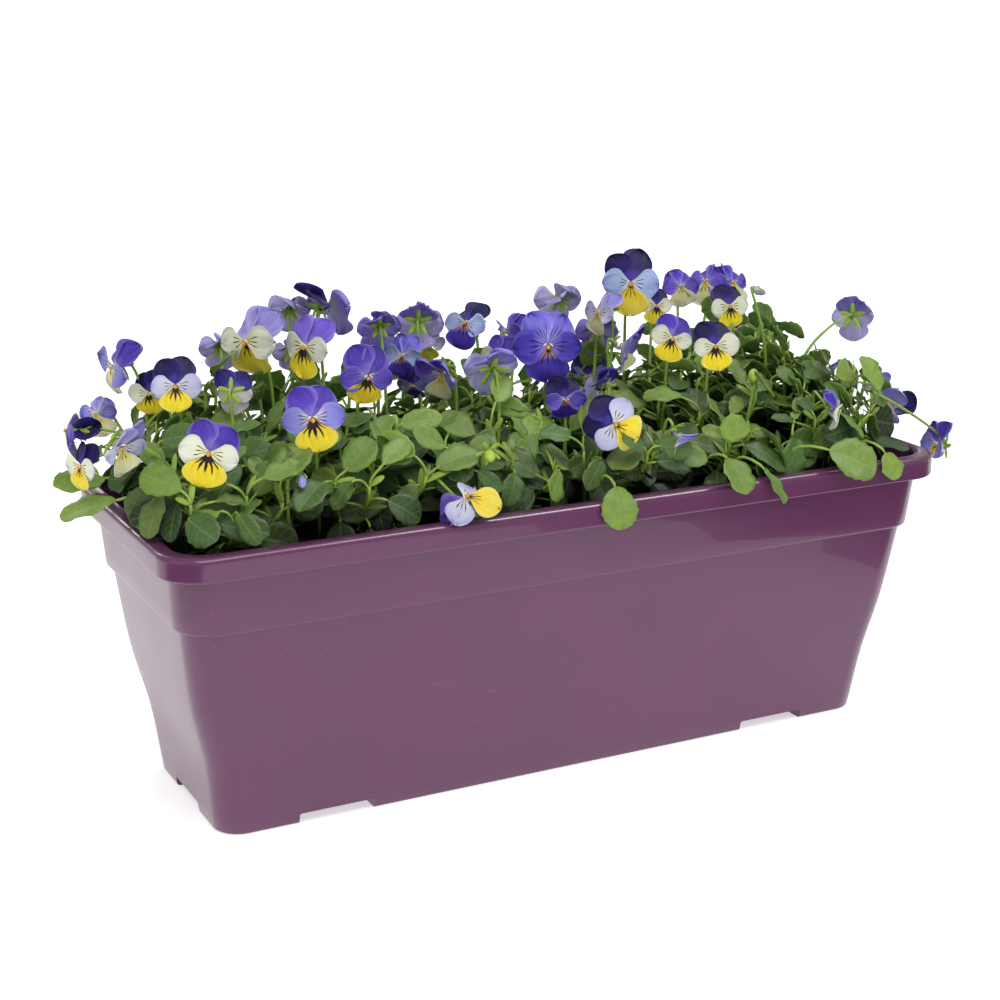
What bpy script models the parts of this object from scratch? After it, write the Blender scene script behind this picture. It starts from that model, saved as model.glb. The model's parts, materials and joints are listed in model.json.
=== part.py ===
"""Planted window box: a glossy plastic trough filled with flowering violas.

Metres, +Z up. The origin is on the floor under the middle of the trough, the
trough's length runs along X and its front long side faces -Y.
"""
import math
import random

import bmesh
import bpy
from mathutils import Matrix, Vector
from mathutils.bvhtree import BVHTree

# ---- driving dimensions, metres -------------------------------------------
RIM_LENGTH = 0.500          # over the lip, along X
RIM_WIDTH = 0.192           # over the lip, along Y
HEIGHT = 0.174              # floor to the top of the lip
WALL = 0.0024               # moulded wall thickness
APRON_DROP = 0.0134         # how far the lip's apron hangs down
FLOOR_TOP = 0.0088          # inside floor above the ground
BAND_BOTTOM = 0.1270        # underside of the raised band
CORNER_STEPS = 6            # facets in each rounded corner

CHANNEL_HEIGHT = 0.0063     # clearance under the base between the feet
CROSS_CHANNEL = (0.1255, 0.1715)    # |x| range of the two cross channels
LONG_CHANNEL = 0.0205       # half width of the lengthwise channel
CHANNEL_EDGE = 0.0015       # chamfer along the channels' top edges
DRAIN_DIAMETER = 0.008
DRAIN_CENTRES = ((-0.1485, -0.040), (-0.1485, 0.040), (0.1485, -0.040),
                 (0.1485, 0.040), (-0.062, 0.0), (0.062, 0.0))

FIT = 0.0004                # clearance left between touching pieces
SOIL_TOP = 0.1490           # soil against the wall
SOIL_CROWN = 0.0040         # how much higher the soil is in the middle

STALK_RADIUS = 0.0010
STALK_STEPS = 6
PETAL_THICKNESS = 0.0012
LEAF_THICKNESS = 0.0009

# Half length, half width, corner radius and height of each outline the wall
# passes through: up the outside, over the lip and down the inside.
HALF_L = RIM_LENGTH / 2
HALF_W = RIM_WIDTH / 2
APRON_Z = HEIGHT - APRON_DROP
SHELL = (
    (0.2160, 0.0589, 0.0150, 0.0000),
    (0.2173, 0.0602, 0.0158, 0.0014),
    (0.2222, 0.0675, 0.0175, 0.0440),
    (0.2262, 0.0700, 0.0180, 0.0590),
    (0.2305, 0.0726, 0.0190, 0.0750),
    (0.2367, 0.0812, 0.0205, BAND_BOTTOM),
    (0.2388, 0.0833, 0.0225, BAND_BOTTOM),
    (0.2398, 0.0843, 0.0232, BAND_BOTTOM + 0.0005),
    (0.2403, 0.0848, 0.0236, BAND_BOTTOM + 0.0018),
    (0.2425, 0.0884, 0.0236, APRON_Z),
    (0.2428, 0.0888, 0.0236, HEIGHT - WALL),
    (HALF_L - WALL, HALF_W - WALL, 0.0226, HEIGHT - 2 * WALL),
    (HALF_L - WALL, HALF_W - WALL, 0.0226, APRON_Z),
    (HALF_L - 0.0005, HALF_W - 0.0005, 0.0245, APRON_Z),
    (HALF_L, HALF_W, 0.0250, APRON_Z + 0.0006),
    (HALF_L, HALF_W, 0.0250, HEIGHT - 0.0040),
    (HALF_L - 0.0004, HALF_W - 0.0004, 0.0247, HEIGHT - 0.0022),
    (HALF_L - 0.0014, HALF_W - 0.0014, 0.0238, HEIGHT - 0.0009),
    (HALF_L - 0.0034, HALF_W - 0.0034, 0.0222, HEIGHT),
    (HALF_L - 0.0085, HALF_W - 0.0085, 0.0192, HEIGHT),
    (HALF_L - 0.0096, HALF_W - 0.0096, 0.0188, HEIGHT - 0.0006),
    (HALF_L - 0.0099, HALF_W - 0.0099, 0.0186, HEIGHT - 0.0020),
    (0.2379, 0.0824, 0.0206, BAND_BOTTOM + 0.0034),
    (0.2343, 0.0788, 0.0181, BAND_BOTTOM + 0.0024),
    (0.2281, 0.0702, 0.0166, 0.0750),
    (0.2238, 0.0676, 0.0156, 0.0590),
    (0.2198, 0.0651, 0.0151, 0.0440),
    (0.2155, 0.0590, 0.0140, FLOOR_TOP),
)
# The same inside faces, bottom to top, for the soil that fills them.
SOIL_SIDE = (
    (0.2155, 0.0590, 0.0140, FLOOR_TOP),
    (0.2198, 0.0651, 0.0151, 0.0440),
    (0.2238, 0.0676, 0.0156, 0.0590),
    (0.2281, 0.0702, 0.0166, 0.0750),
    (0.2343, 0.0788, 0.0181, BAND_BOTTOM + 0.0024),
    (0.2343, 0.0788, 0.0181, BAND_BOTTOM + 0.0040),
)

# Each plant's dense leaf mass: centre x, half length, half width, height.
MOUND_BASE = 0.1575
MOUNDS = (
    (-0.1995, 0.0360, 0.079, 0.208),
    (-0.1205, 0.0375, 0.080, 0.214),
    (-0.0405, 0.0375, 0.080, 0.216),
    (0.0395, 0.0375, 0.080, 0.212),
    (0.1195, 0.0375, 0.080, 0.224),
    (0.1985, 0.0360, 0.079, 0.220),
)
MOUND_RINGS = ((0.0, 0.80), (0.14, 0.93), (0.32, 1.0), (0.54, 0.97),
               (0.76, 0.82), (0.92, 0.55))

# Leaves standing clear of the mass. Blade centre in mm, direction the tip
# points (azimuth from -Y towards +X, elevation), tilt of the blade about
# that direction, blade length and width in mm, petiole length in mm.
LEAVES = (
    ("leaf_front_1", (10, -101, 169), (-8, -66), 8, 34, 23, 20),
    ("leaf_front_2", (91, -100, 182), (10, -48), -10, 27, 25, 16),
    ("leaf_front_3", (118, -101, 170), (38, -55), 10, 26, 10, 18),
    ("leaf_front_4", (171, -104, 183), (62, -22), 48, 40, 27, 16),
    ("leaf_front_5", (203, -100, 169), (12, -62), 5, 28, 22, 18),
    ("leaf_left_1", (-264, 8, 182), (-112, -12), 10, 36, 18, 10),
    ("leaf_left_2", (-258, 42, 188), (-76, 6), 0, 34, 20, 4),
    ("leaf_back_1", (-96, 99, 184), (176, -40), 0, 32, 24, 18),
    ("leaf_back_2", (128, 100, 186), (-172, -36), 0, 32, 24, 8),
)

# Flowers: petal group, head centre in mm, way it faces (azimuth, elevation),
# roll, petal radius in mm and where the stalk stands in the leaves (x, y, and
# the height too where it leaves the side of a plant).
BLOOMS = (
    ("violet", (-265, 36, 218), (-112, 10), 0, 15, (-222, 30)),
    ("bicolour", (-266, 8, 204), (-68, -5), 0, 14, (-222, 4)),
    ("lilac", (-256, -40, 224), (34, -30), 0, 15, (-224, -34)),
    ("bicolour", (-234, 50, 249), (-84, 0), 10, 17, (-216, 46)),
    ("bicolour", (-213, 0, 245), (-20, 10), 0, 17, (-206, 14)),
    ("bicolour", (-215, -60, 221), (-18, 6), 22, 18, (-208, -46)),
    ("violet", (-184, -10, 240), (150, -15), 0, 11, (-186, -16)),
    ("bicolour", (-165, 20, 262), (-62, -4), 0, 21, (-150, 26)),
    ("lilac", (-167, 60, 253), (165, 5), 0, 11, (-164, 50)),
    ("lilac", (-123, 60, 274), (155, 22), 0, 14, (-126, 50)),
    ("violet", (-107, 38, 276), (98, 20), 0, 17, (-122, 34)),
    ("bicolour", (-137, 0, 260), (-66, 2), 0, 18, (-124, 6)),
    ("bicolour", (-157, -60, 233), (-18, 10), -4, 20, (-150, -44)),
    ("violet", (-112, -30, 246), (-6, -8), 8, 17, (-112, -14)),
    ("violet", (-74, 42, 260), (162, 0), 0, 14, (-78, 32)),
    ("lilac", (-47, 42, 260), (148, -6), 0, 16, (-52, 32)),
    ("blue", (-66, 26, 244), (-50, 5), 0, 13, (-58, 44)),
    ("lilac", (-53, -2, 237), (-62, -28), 0, 14, (-40, 6)),
    ("violet", (-16, 42, 257), (-58, 20), 0, 16, (-8, 34)),
    ("lilac", (-30, -18, 243), (172, 24), 0, 18, (-30, -30)),
    ("bicolour", (-83, -93, 188), (-10, 58), -62, 17, (-84, -62)),
    ("blue", (3, -28, 253), (-24, 6), 0, 20, (8, -12)),
    ("violet", (6, -44, 224), (-16, -14), 0, 13, (12, -34)),
    ("lilac", (52, 52, 266), (168, 8), 0, 15, (50, 42)),
    ("violet", (31, -36, 228), (-158, 10), 0, 14, (31, -46)),
    ("bicolour", (22, -72, 213), (-16, 12), -62, 18, (22, -56)),
    ("violet", (87, 20, 277), (-18, 2), 0, 20, (92, 34)),
    ("lilac", (58, 8, 263), (-84, 4), 0, 14, (70, 12)),
    ("bicolour", (86, -32, 251), (-28, 0), 14, 15, (90, -18)),
    ("bicolour", (110, -42, 246), (-26, 4), -6, 16, (114, -28)),
    ("violet", (150, 60, 265), (-14, 8), 0, 13, (152, 68)),
    ("violet", (192, 62, 264), (4, 8), 0, 15, (192, 66)),
    ("bicolour", (160, 18, 257), (-18, 6), 0, 15, (164, 32)),
    ("bicolour", (65, -74, 202), (26, -50), 0, 9, (62, -62)),
    ("lilac", (268, 30, 240), (138, -6), 0, 16, (222, 22)),
    ("violet", (172, -84, 208), (58, -14), 0, 12, (176, -56)),
    ("violet", (258, -30, 188), (-58, -30), 0, 14, (239, -16, 186)),
    ("lilac", (271, -60, 170), (74, -14), 0, 14, (226, -44)),
)

# Seed capsules and closed buds: head centre, way it points, head length and
# radius in mm, stalk's foot (x, y).
BUDS = (
    ("capsule_1", (139, -42, 231), (-30, 62), 9, 3.4, (134, -48)),
    ("bud_1", (-171, -78, 201), (-28, -16), 12, 3.0, (-166, -62)),
    ("capsule_2", (-62, -84, 203), (-20, -8), 9, 3.6, (-58, -64)),
    ("bud_2", (164, 0, 268), (-76, -8), 11, 2.4, (176, 4)),
)

# Colour, roughness and metallic of each group's material.
MATERIALS = {
    "plum_plastic": ((0.172, 0.046, 0.135), 0.22, 0.0),
    "potting_soil": ((0.030, 0.018, 0.011), 0.95, 0.0),
    "foliage": ((0.085, 0.220, 0.050), 0.55, 0.0),
    "petals_violet": ((0.075, 0.040, 0.400), 0.60, 0.0),
    "petals_lilac": ((0.270, 0.240, 0.620), 0.60, 0.0),
    "petals_blue": ((0.055, 0.060, 0.480), 0.60, 0.0),
    "petals_bicolour": ((0.780, 0.680, 0.200), 0.60, 0.0),
    "green_buds": ((0.180, 0.330, 0.060), 0.55, 0.0),
}


def clear_scene():
    """Remove the startup file's objects."""
    for obj in list(bpy.data.objects):
        bpy.data.objects.remove(obj, do_unlink=True)


def make_material(name):
    """Principled material of one finish."""
    colour, roughness, metallic = MATERIALS[name]
    material = bpy.data.materials.new(name)
    material.use_nodes = True
    shader = material.node_tree.nodes["Principled BSDF"]
    shader.inputs["Base Color"].default_value = (*colour, 1.0)
    shader.inputs["Roughness"].default_value = roughness
    shader.inputs["Metallic"].default_value = metallic
    return material


def add_solid(name, mesh_data, material, smooth_angle=35.0):
    """Turn a closed bmesh into a named object with outward faces."""
    bmesh.ops.remove_doubles(mesh_data, verts=mesh_data.verts, dist=0.00001)
    bmesh.ops.recalc_face_normals(mesh_data, faces=mesh_data.faces)
    limit = math.radians(smooth_angle)
    for face in mesh_data.faces:
        face.smooth = True
    for edge in mesh_data.edges:
        edge.smooth = edge.calc_face_angle(0.0) < limit
    mesh = bpy.data.meshes.new(name)
    mesh_data.to_mesh(mesh)
    mesh_data.free()
    obj = bpy.data.objects.new(name, mesh)
    bpy.context.scene.collection.objects.link(obj)
    obj.data.materials.append(material)
    return obj


def rounded_outline(half_length, half_width, radius, z):
    """Points of one rounded rectangle, counter-clockwise from +X."""
    points = []
    corners = ((1, 1, 0), (-1, 1, 90), (-1, -1, 180), (1, -1, 270))
    for sign_x, sign_y, start in corners:
        centre_x = sign_x * (half_length - radius)
        centre_y = sign_y * (half_width - radius)
        for step in range(CORNER_STEPS + 1):
            angle = math.radians(start + 90 * step / CORNER_STEPS)
            points.append(Vector((centre_x + radius * math.cos(angle),
                                  centre_y + radius * math.sin(angle), z)))
    return points


def bridge(mesh_data, first, second):
    """Quads between two closed rings with the same number of vertices."""
    count = len(first)
    for i in range(count):
        j = (i + 1) % count
        mesh_data.faces.new((first[i], first[j], second[j], second[i]))


def loft(rings):
    """Closed bmesh through rings of points, capped at both ends."""
    mesh_data = bmesh.new()
    verts = [[mesh_data.verts.new(point) for point in ring] for ring in rings]
    mesh_data.faces.new(verts[0])
    for lower, upper in zip(verts, verts[1:]):
        bridge(mesh_data, lower, upper)
    mesh_data.faces.new(verts[-1])
    return mesh_data


def add_cutter(name, mesh_data):
    """Hidden wire object used only to cut another piece."""
    bmesh.ops.recalc_face_normals(mesh_data, faces=mesh_data.faces)
    mesh = bpy.data.meshes.new(name)
    mesh_data.to_mesh(mesh)
    mesh_data.free()
    cutter = bpy.data.objects.new(name, mesh)
    bpy.context.scene.collection.objects.link(cutter)
    cutter.hide_render = True
    cutter.display_type = "WIRE"
    return cutter


def channel_cutter(name, low, high, along_x):
    """Chamfered bar that cuts one clearance channel between the feet."""
    top = CHANNEL_HEIGHT
    edge = CHANNEL_EDGE
    section = ((low, -0.01), (high, -0.01), (high, top - edge),
               (high - edge, top), (low + edge, top), (low, top - edge))
    reach = 0.30
    if along_x:
        rings = [[Vector((x, side, z)) for side, z in section]
                 for x in (-reach, reach)]
    else:
        rings = [[Vector((side, y, z)) for side, z in section]
                 for y in (-reach, reach)]
    return add_cutter(name, loft(rings))


def drain_cutter(name, centre):
    """Round bar that cuts one drain hole."""
    rings = []
    for z in (-0.005, 0.020):
        ring = []
        for i in range(16):
            angle = 2 * math.pi * i / 16
            ring.append(Vector((
                centre[0] + DRAIN_DIAMETER / 2 * math.cos(angle),
                centre[1] + DRAIN_DIAMETER / 2 * math.sin(angle), z)))
        rings.append(ring)
    return add_cutter(name, loft(rings))


def cut(obj, cutter):
    """Subtract a cutter from an object and remove the cutter."""
    modifier = obj.modifiers.new("cut", "BOOLEAN")
    modifier.operation = "DIFFERENCE"
    modifier.solver = "EXACT"
    modifier.object = cutter
    bpy.context.view_layer.update()
    graph = bpy.context.evaluated_depsgraph_get()
    mesh = bpy.data.meshes.new_from_object(obj.evaluated_get(graph))
    obj.modifiers.clear()
    obj.data = mesh
    bpy.data.objects.remove(cutter, do_unlink=True)


def build_window_box(material):
    """One moulded trough with its lip, band, feet and drain holes."""
    rings = [rounded_outline(*outline) for outline in SHELL]
    box = add_solid("window_box", loft(rings), material)
    low, high = CROSS_CHANNEL
    cut(box, channel_cutter("cut_cross_left", -high, -low, False))
    cut(box, channel_cutter("cut_cross_right", low, high, False))
    cut(box, channel_cutter("cut_long", -LONG_CHANNEL, LONG_CHANNEL, True))
    for number, centre in enumerate(DRAIN_CENTRES):
        cut(box, drain_cutter("cut_drain_%d" % number, centre))
    return box


def soil_height(x, y):
    """Uneven top of the potting soil at one point."""
    reach = max(abs(x) / 0.235, abs(y) / 0.080)
    crown = SOIL_CROWN * max(0.0, 1.0 - reach ** 2)
    waves = 0.0008 * math.sin(61 * x + 1.3) * math.cos(83 * y - 0.4)
    return SOIL_TOP + crown + waves


def build_soil(material):
    """Potting soil filling the trough to below the lip."""
    rings = []
    for index, (length, width, radius, z) in enumerate(SOIL_SIDE):
        height = z + FIT if index == 0 else z - FIT
        rings.append(rounded_outline(length - FIT, width - FIT, radius,
                                     height))
    length, width, radius, z = SOIL_SIDE[-1]
    for scale in (1.0, 0.97, 0.82, 0.60, 0.34, 0.10):
        outline = rounded_outline((length - FIT) * scale,
                                  (width - FIT) * scale, radius * scale, z)
        rings.append([Vector((p.x, p.y, soil_height(p.x, p.y)))
                      for p in outline])
    return add_solid("potting_soil", loft(rings), material)


def boxy(angle):
    """Unit outline between an ellipse and a rectangle."""
    c = math.cos(angle)
    s = math.sin(angle)
    power = 0.62
    return (math.copysign(abs(c) ** power, c),
            math.copysign(abs(s) ** power, s))


def build_mound(number, spec, material):
    """Dense leaf mass of one plant."""
    centre_x, half_length, half_width, top = spec
    rng = random.Random(40 + number)
    rings = []
    sides = 18
    for fraction, scale in MOUND_RINGS:
        z = MOUND_BASE + fraction * (top - MOUND_BASE)
        ring = []
        for i in range(sides):
            bx, by = boxy(2 * math.pi * (i + 0.5) / sides)
            swell = scale * rng.uniform(0.93, 1.03)
            lift = 0.0 if fraction == 0.0 else rng.uniform(-0.002, 0.002)
            ring.append(Vector((centre_x + half_length * bx * swell,
                                half_width * by * swell, z + lift)))
        rings.append(ring)
    mesh_data = bmesh.new()
    verts = [[mesh_data.verts.new(point) for point in ring] for ring in rings]
    mesh_data.faces.new(verts[0])
    for lower, upper in zip(verts, verts[1:]):
        bridge(mesh_data, lower, upper)
    apex = mesh_data.verts.new(Vector((centre_x, 0.0, top)))
    for i in range(sides):
        mesh_data.faces.new((verts[-1][i], verts[-1][(i + 1) % sides], apex))
    bmesh.ops.triangulate(mesh_data, faces=mesh_data.faces[1:])
    return add_solid("plant_%d" % number, mesh_data, material, 70.0)


def direction(azimuth, elevation):
    """Unit vector from an azimuth (0 is -Y, 90 is +X) and an elevation."""
    a = math.radians(azimuth)
    e = math.radians(elevation)
    return Vector((math.sin(a) * math.cos(e), -math.cos(a) * math.cos(e),
                   math.sin(e)))


def build_leaf(spec, material):
    """Thin drooping blade on its flat petiole."""
    name, centre, heading, tilt, length, width, petiole = spec
    forward = direction(*heading)
    side = forward.cross(Vector((0, 0, 1))).normalized()
    normal = side.cross(forward).normalized()
    turn = Matrix.Rotation(math.radians(tilt), 3, forward)
    side = turn @ side
    normal = turn @ normal
    centre = Vector(centre) / 1000
    length = length / 1000
    half_width = width / 2000
    petiole = petiole / 1000
    stations = ((-0.5 * length - petiole, 0.0009), (-0.5 * length, 0.0010),
                (-0.42 * length, 0.55 * half_width),
                (-0.22 * length, 0.95 * half_width),
                (0.02 * length, half_width), (0.24 * length, 0.80 * half_width),
                (0.42 * length, 0.40 * half_width), (0.5 * length, 0.0007))
    rings = []
    for along, half in stations:
        droop = -0.9 * (along / length) ** 2 * length * 0.25
        middle = centre + forward * along + normal * droop
        up = normal * LEAF_THICKNESS / 2
        rings.append([middle - side * half - up, middle + side * half - up,
                      middle + side * half + up, middle - side * half + up])
    return add_solid(name, loft(rings), material)


def stand_on_leaves(trees, x, y):
    """Point just above the leaf mass, as near (x, y) as it is firm."""
    nearest = min(range(len(MOUNDS)), key=lambda i: abs(MOUNDS[i][0] - x))
    middle = MOUNDS[nearest][0]
    for step in range(10):
        pull = 0.08 * step
        start = Vector((x + (middle - x) * pull, y * (1 - pull), 0.40))
        hit, normal, _, _ = trees[nearest].ray_cast(start, Vector((0, 0, -1)))
        if hit is not None and normal.z > 0.6:
            slope = math.sqrt(1 / normal.z ** 2 - 1)
            return hit + Vector((0, 0, FIT + STALK_RADIUS * slope))
    raise ValueError("no leaves under a stalk at %.3f, %.3f" % (x, y))


def curve_points(start, start_pull, end_pull, end, steps):
    """Points along a cubic curve."""
    points = []
    for i in range(steps + 1):
        t = i / steps
        points.append(start * (1 - t) ** 3 + start_pull * 3 * t * (1 - t) ** 2
                      + end_pull * 3 * t * t * (1 - t) + end * t ** 3)
    return points


def stalk_path(head, facing, foot, trees):
    """Stalk from the back of a head down to the leaves."""
    if len(foot) == 3:
        foot_point = Vector(foot) / 1000
    else:
        foot_point = stand_on_leaves(trees, foot[0] / 1000, foot[1] / 1000)
    rise = max(head.z - foot_point.z, 0.012)
    leave = head - facing * 0.012 + Vector((0, 0, 0.004))
    arrive = foot_point + Vector((0, 0, 0.55 * rise))
    return curve_points(head, leave, arrive, foot_point, STALK_STEPS)


def sweep_stalk(mesh_data, first_ring, path, axis_a, axis_b, radius):
    """Carry a ring of vertices along a path and cap the far end."""
    sides = len(first_ring)
    previous = first_ring
    tangent_before = (path[1] - path[0]).normalized()
    for index in range(1, len(path)):
        if index + 1 < len(path):
            tangent = (path[index + 1] - path[index - 1]).normalized()
        else:
            tangent = Vector((0, 0, -1))
        turn = tangent_before.rotation_difference(tangent).to_matrix()
        axis_a = turn @ axis_a
        axis_b = turn @ axis_b
        tangent_before = tangent
        ring = []
        for k in range(sides):
            angle = 2 * math.pi * k / sides
            offset = axis_a * math.cos(angle) + axis_b * math.sin(angle)
            ring.append(mesh_data.verts.new(path[index] + offset * radius))
        bridge(mesh_data, previous, ring)
        previous = ring
    mesh_data.faces.new(previous)


def build_bloom(name, spec, material, trees):
    """Five-lobed flower head with its stalk, as one body."""
    _, centre, facing_angles, roll, radius, foot = spec
    facing = direction(*facing_angles)
    down = (Vector((0, 0, -1)) - facing * facing.dot(Vector((0, 0, -1))))
    down.normalize()
    right = facing.cross(down)
    turn = Matrix.Rotation(math.radians(-roll), 3, facing)
    lip = turn @ down
    side = turn @ right
    centre = Vector(centre) / 1000
    radius = radius / 1000
    lobe_reach = (1.0, 0.93, 0.96, 0.96, 0.93)
    lobe_shape = ((-36, 0.66), (-19, 0.94), (0, 1.0), (19, 0.94))
    front_z = facing * PETAL_THICKNESS / 2
    mesh_data = bmesh.new()
    front = []
    back = []
    for lobe in range(5):
        for offset, reach in lobe_shape:
            angle = math.radians(72 * lobe + offset)
            spread = radius * reach
            if offset != -36:
                spread *= lobe_reach[lobe]
            point = centre + (lip * math.cos(angle)
                              + side * math.sin(angle)) * spread
            front.append(mesh_data.verts.new(point + front_z))
            back.append(mesh_data.verts.new(point - front_z))
    bridge(mesh_data, front, back)
    mesh_data.faces.new(front)
    path = stalk_path(centre - front_z, facing, foot, trees)
    ring = []
    for k in range(5):
        angle = 2 * math.pi * k / 5
        offset = lip * math.cos(angle) + side * math.sin(angle)
        ring.append(mesh_data.verts.new(path[0] + offset * STALK_RADIUS))
    for lobe in range(5):
        for step in range(4):
            first = back[4 * lobe + step]
            second = back[(4 * lobe + step + 1) % 20]
            mesh_data.faces.new((first, second, ring[lobe]))
        notch = back[(4 * lobe + 4) % 20]
        mesh_data.faces.new((notch, ring[(lobe + 1) % 5], ring[lobe]))
    sweep_stalk(mesh_data, ring, path, lip, side, STALK_RADIUS)
    return add_solid(name, mesh_data, material)


def build_bud(spec, material, trees):
    """Closed bud or seed capsule on its stalk, as one body."""
    name, centre, heading, length, radius, foot = spec
    facing = direction(*heading)
    centre = Vector(centre) / 1000
    length = length / 1000
    radius = radius / 1000
    side = facing.cross(Vector((0, 0, 1))).normalized()
    up = side.cross(facing)
    mesh_data = bmesh.new()
    rings = []
    profile = ((0.5, 0.18), (0.36, 0.66), (0.10, 1.0), (-0.18, 0.95),
               (-0.40, 0.62), (-0.5, None))
    for along, scale in profile:
        reach = STALK_RADIUS if scale is None else radius * scale
        ring = []
        for k in range(8):
            angle = 2 * math.pi * k / 8
            offset = side * math.cos(angle) + up * math.sin(angle)
            ring.append(mesh_data.verts.new(
                centre + facing * along * length + offset * reach))
        rings.append(ring)
    mesh_data.faces.new(rings[0])
    for first, second in zip(rings, rings[1:]):
        bridge(mesh_data, first, second)
    path = stalk_path(centre - facing * 0.5 * length, facing, foot, trees)
    sweep_stalk(mesh_data, rings[-1], path, side, up, STALK_RADIUS)
    return add_solid(name, mesh_data, material)


def main():
    """Build every piece."""
    clear_scene()
    materials = {name: make_material(name) for name in MATERIALS}
    build_window_box(materials["plum_plastic"])
    build_soil(materials["potting_soil"])
    trees = []
    for number, spec in enumerate(MOUNDS, 1):
        mound = build_mound(number, spec, materials["foliage"])
        points = [vertex.co for vertex in mound.data.vertices]
        faces = [tuple(face.vertices) for face in mound.data.polygons]
        trees.append(BVHTree.FromPolygons(points, faces))
    for spec in LEAVES:
        build_leaf(spec, materials["foliage"])
    counts = {}
    for spec in BLOOMS:
        group = spec[0]
        counts[group] = counts.get(group, 0) + 1
        build_bloom("bloom_%s_%02d" % (group, counts[group]), spec,
                    materials["petals_" + group], trees)
    for spec in BUDS:
        build_bud(spec, materials["green_buds"], trees)


main()
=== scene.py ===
"""Looks of the planted window box: a plastic trough of flowering violas.

Every sub-assembly is a class that holds its own sizes, builds its meshes and
dresses them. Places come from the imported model's nodes; sizes of petals,
leaves and crumbs are those of the real things, in metres.
"""
import json
import logging
import math
import random
from dataclasses import dataclass, field
from enum import Enum
from typing import Any, Optional, Sequence

import bpy
import numpy as np
from mathutils import Matrix, Vector

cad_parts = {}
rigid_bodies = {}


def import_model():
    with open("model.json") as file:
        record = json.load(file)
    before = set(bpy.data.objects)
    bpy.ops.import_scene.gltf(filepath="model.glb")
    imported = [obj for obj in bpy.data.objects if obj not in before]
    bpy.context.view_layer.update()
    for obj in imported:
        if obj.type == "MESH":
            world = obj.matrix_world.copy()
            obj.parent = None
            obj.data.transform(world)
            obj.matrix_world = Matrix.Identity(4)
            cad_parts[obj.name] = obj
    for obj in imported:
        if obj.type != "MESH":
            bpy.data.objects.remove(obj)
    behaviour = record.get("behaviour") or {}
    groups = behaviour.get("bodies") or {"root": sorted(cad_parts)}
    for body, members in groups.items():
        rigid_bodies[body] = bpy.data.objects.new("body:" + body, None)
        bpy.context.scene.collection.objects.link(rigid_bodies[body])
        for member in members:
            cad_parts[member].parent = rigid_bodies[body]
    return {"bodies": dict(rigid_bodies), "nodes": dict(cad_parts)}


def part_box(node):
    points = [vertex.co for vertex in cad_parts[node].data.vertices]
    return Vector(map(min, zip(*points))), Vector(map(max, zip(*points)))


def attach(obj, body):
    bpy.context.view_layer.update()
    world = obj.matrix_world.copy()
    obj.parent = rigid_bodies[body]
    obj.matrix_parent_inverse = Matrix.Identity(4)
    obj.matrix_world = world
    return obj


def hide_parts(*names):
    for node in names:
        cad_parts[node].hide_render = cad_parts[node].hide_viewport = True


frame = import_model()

LOG = logging.getLogger("window_box")
MM = 0.001
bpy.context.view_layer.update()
UP = Vector((0.0, 0.0, 1.0))
DOWN = Vector((0.0, 0.0, -1.0))


# --------------------------------------------------------------------------
# Colour and node helpers
# --------------------------------------------------------------------------

def linear(hex_colour: str) -> tuple[float, float, float, float]:
    """Turn an sRGB hex colour into a linear one.

    Args:
        hex_colour: six hex digits, with or without a leading hash.

    Returns:
        Linear red, green, blue and an alpha of one.
    """
    digits = hex_colour.lstrip("#")
    parts = [int(digits[i:i + 2], 16) / 255 for i in (0, 2, 4)]
    flat = [p / 12.92 if p <= 0.04045 else ((p + 0.055) / 1.055) ** 2.4
            for p in parts]
    return flat[0], flat[1], flat[2], 1.0


def add_node(tree: bpy.types.NodeTree, kind: str,
             settings: Optional[dict[Any, Any]] = None,
             links: Optional[dict[Any, Any]] = None) -> bpy.types.Node:
    """Add one node with its settings and incoming links.

    Args:
        tree: the node tree that gets the node.
        kind: the node's Blender type name after its ShaderNode start.
        settings: input values by input name or number, node properties by
            name, a colour ramp's stops under "stops", and from low, from
            high, to low and to high of a map range under "range".
        links: what feeds inputs, by input name or number: a socket, or a
            node for its first output.

    Returns:
        The new node.
    """
    node = tree.nodes.new("ShaderNode" + kind)
    for key, value in (settings or {}).items():
        if key == "stops":
            ramp = node.color_ramp
            while len(ramp.elements) < len(value):
                ramp.elements.new(1.0)
            for element, (place, colour) in zip(ramp.elements, value):
                element.position = place
                element.color = colour
        elif key == "range":
            for end, number in zip(("From Min", "From Max", "To Min",
                                    "To Max"), value):
                node.inputs[end].default_value = number
        elif isinstance(key, str) and hasattr(node, key):
            setattr(node, key, value)
        else:
            node.inputs[key].default_value = value
    for key, source in (links or {}).items():
        if isinstance(source, bpy.types.Node):
            source = source.outputs[0]
        tree.links.new(source, node.inputs[key])
    return node


def new_material(name: str) -> tuple[bpy.types.Material, bpy.types.Node]:
    """Make an empty Principled material.

    Args:
        name: what the material is called.

    Returns:
        The material and its Principled shader node.
    """
    material = bpy.data.materials.new(name)
    material.use_nodes = True
    return material, material.node_tree.nodes["Principled BSDF"]


def set_inputs(shader: bpy.types.Node, **values: Any) -> None:
    """Set Principled inputs by name, with underscores for spaces.

    Args:
        shader: the Principled node.
        **values: input values, such as Coat_Weight=0.5.
    """
    for key, value in values.items():
        shader.inputs[key.replace("_", " ")].default_value = value


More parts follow.
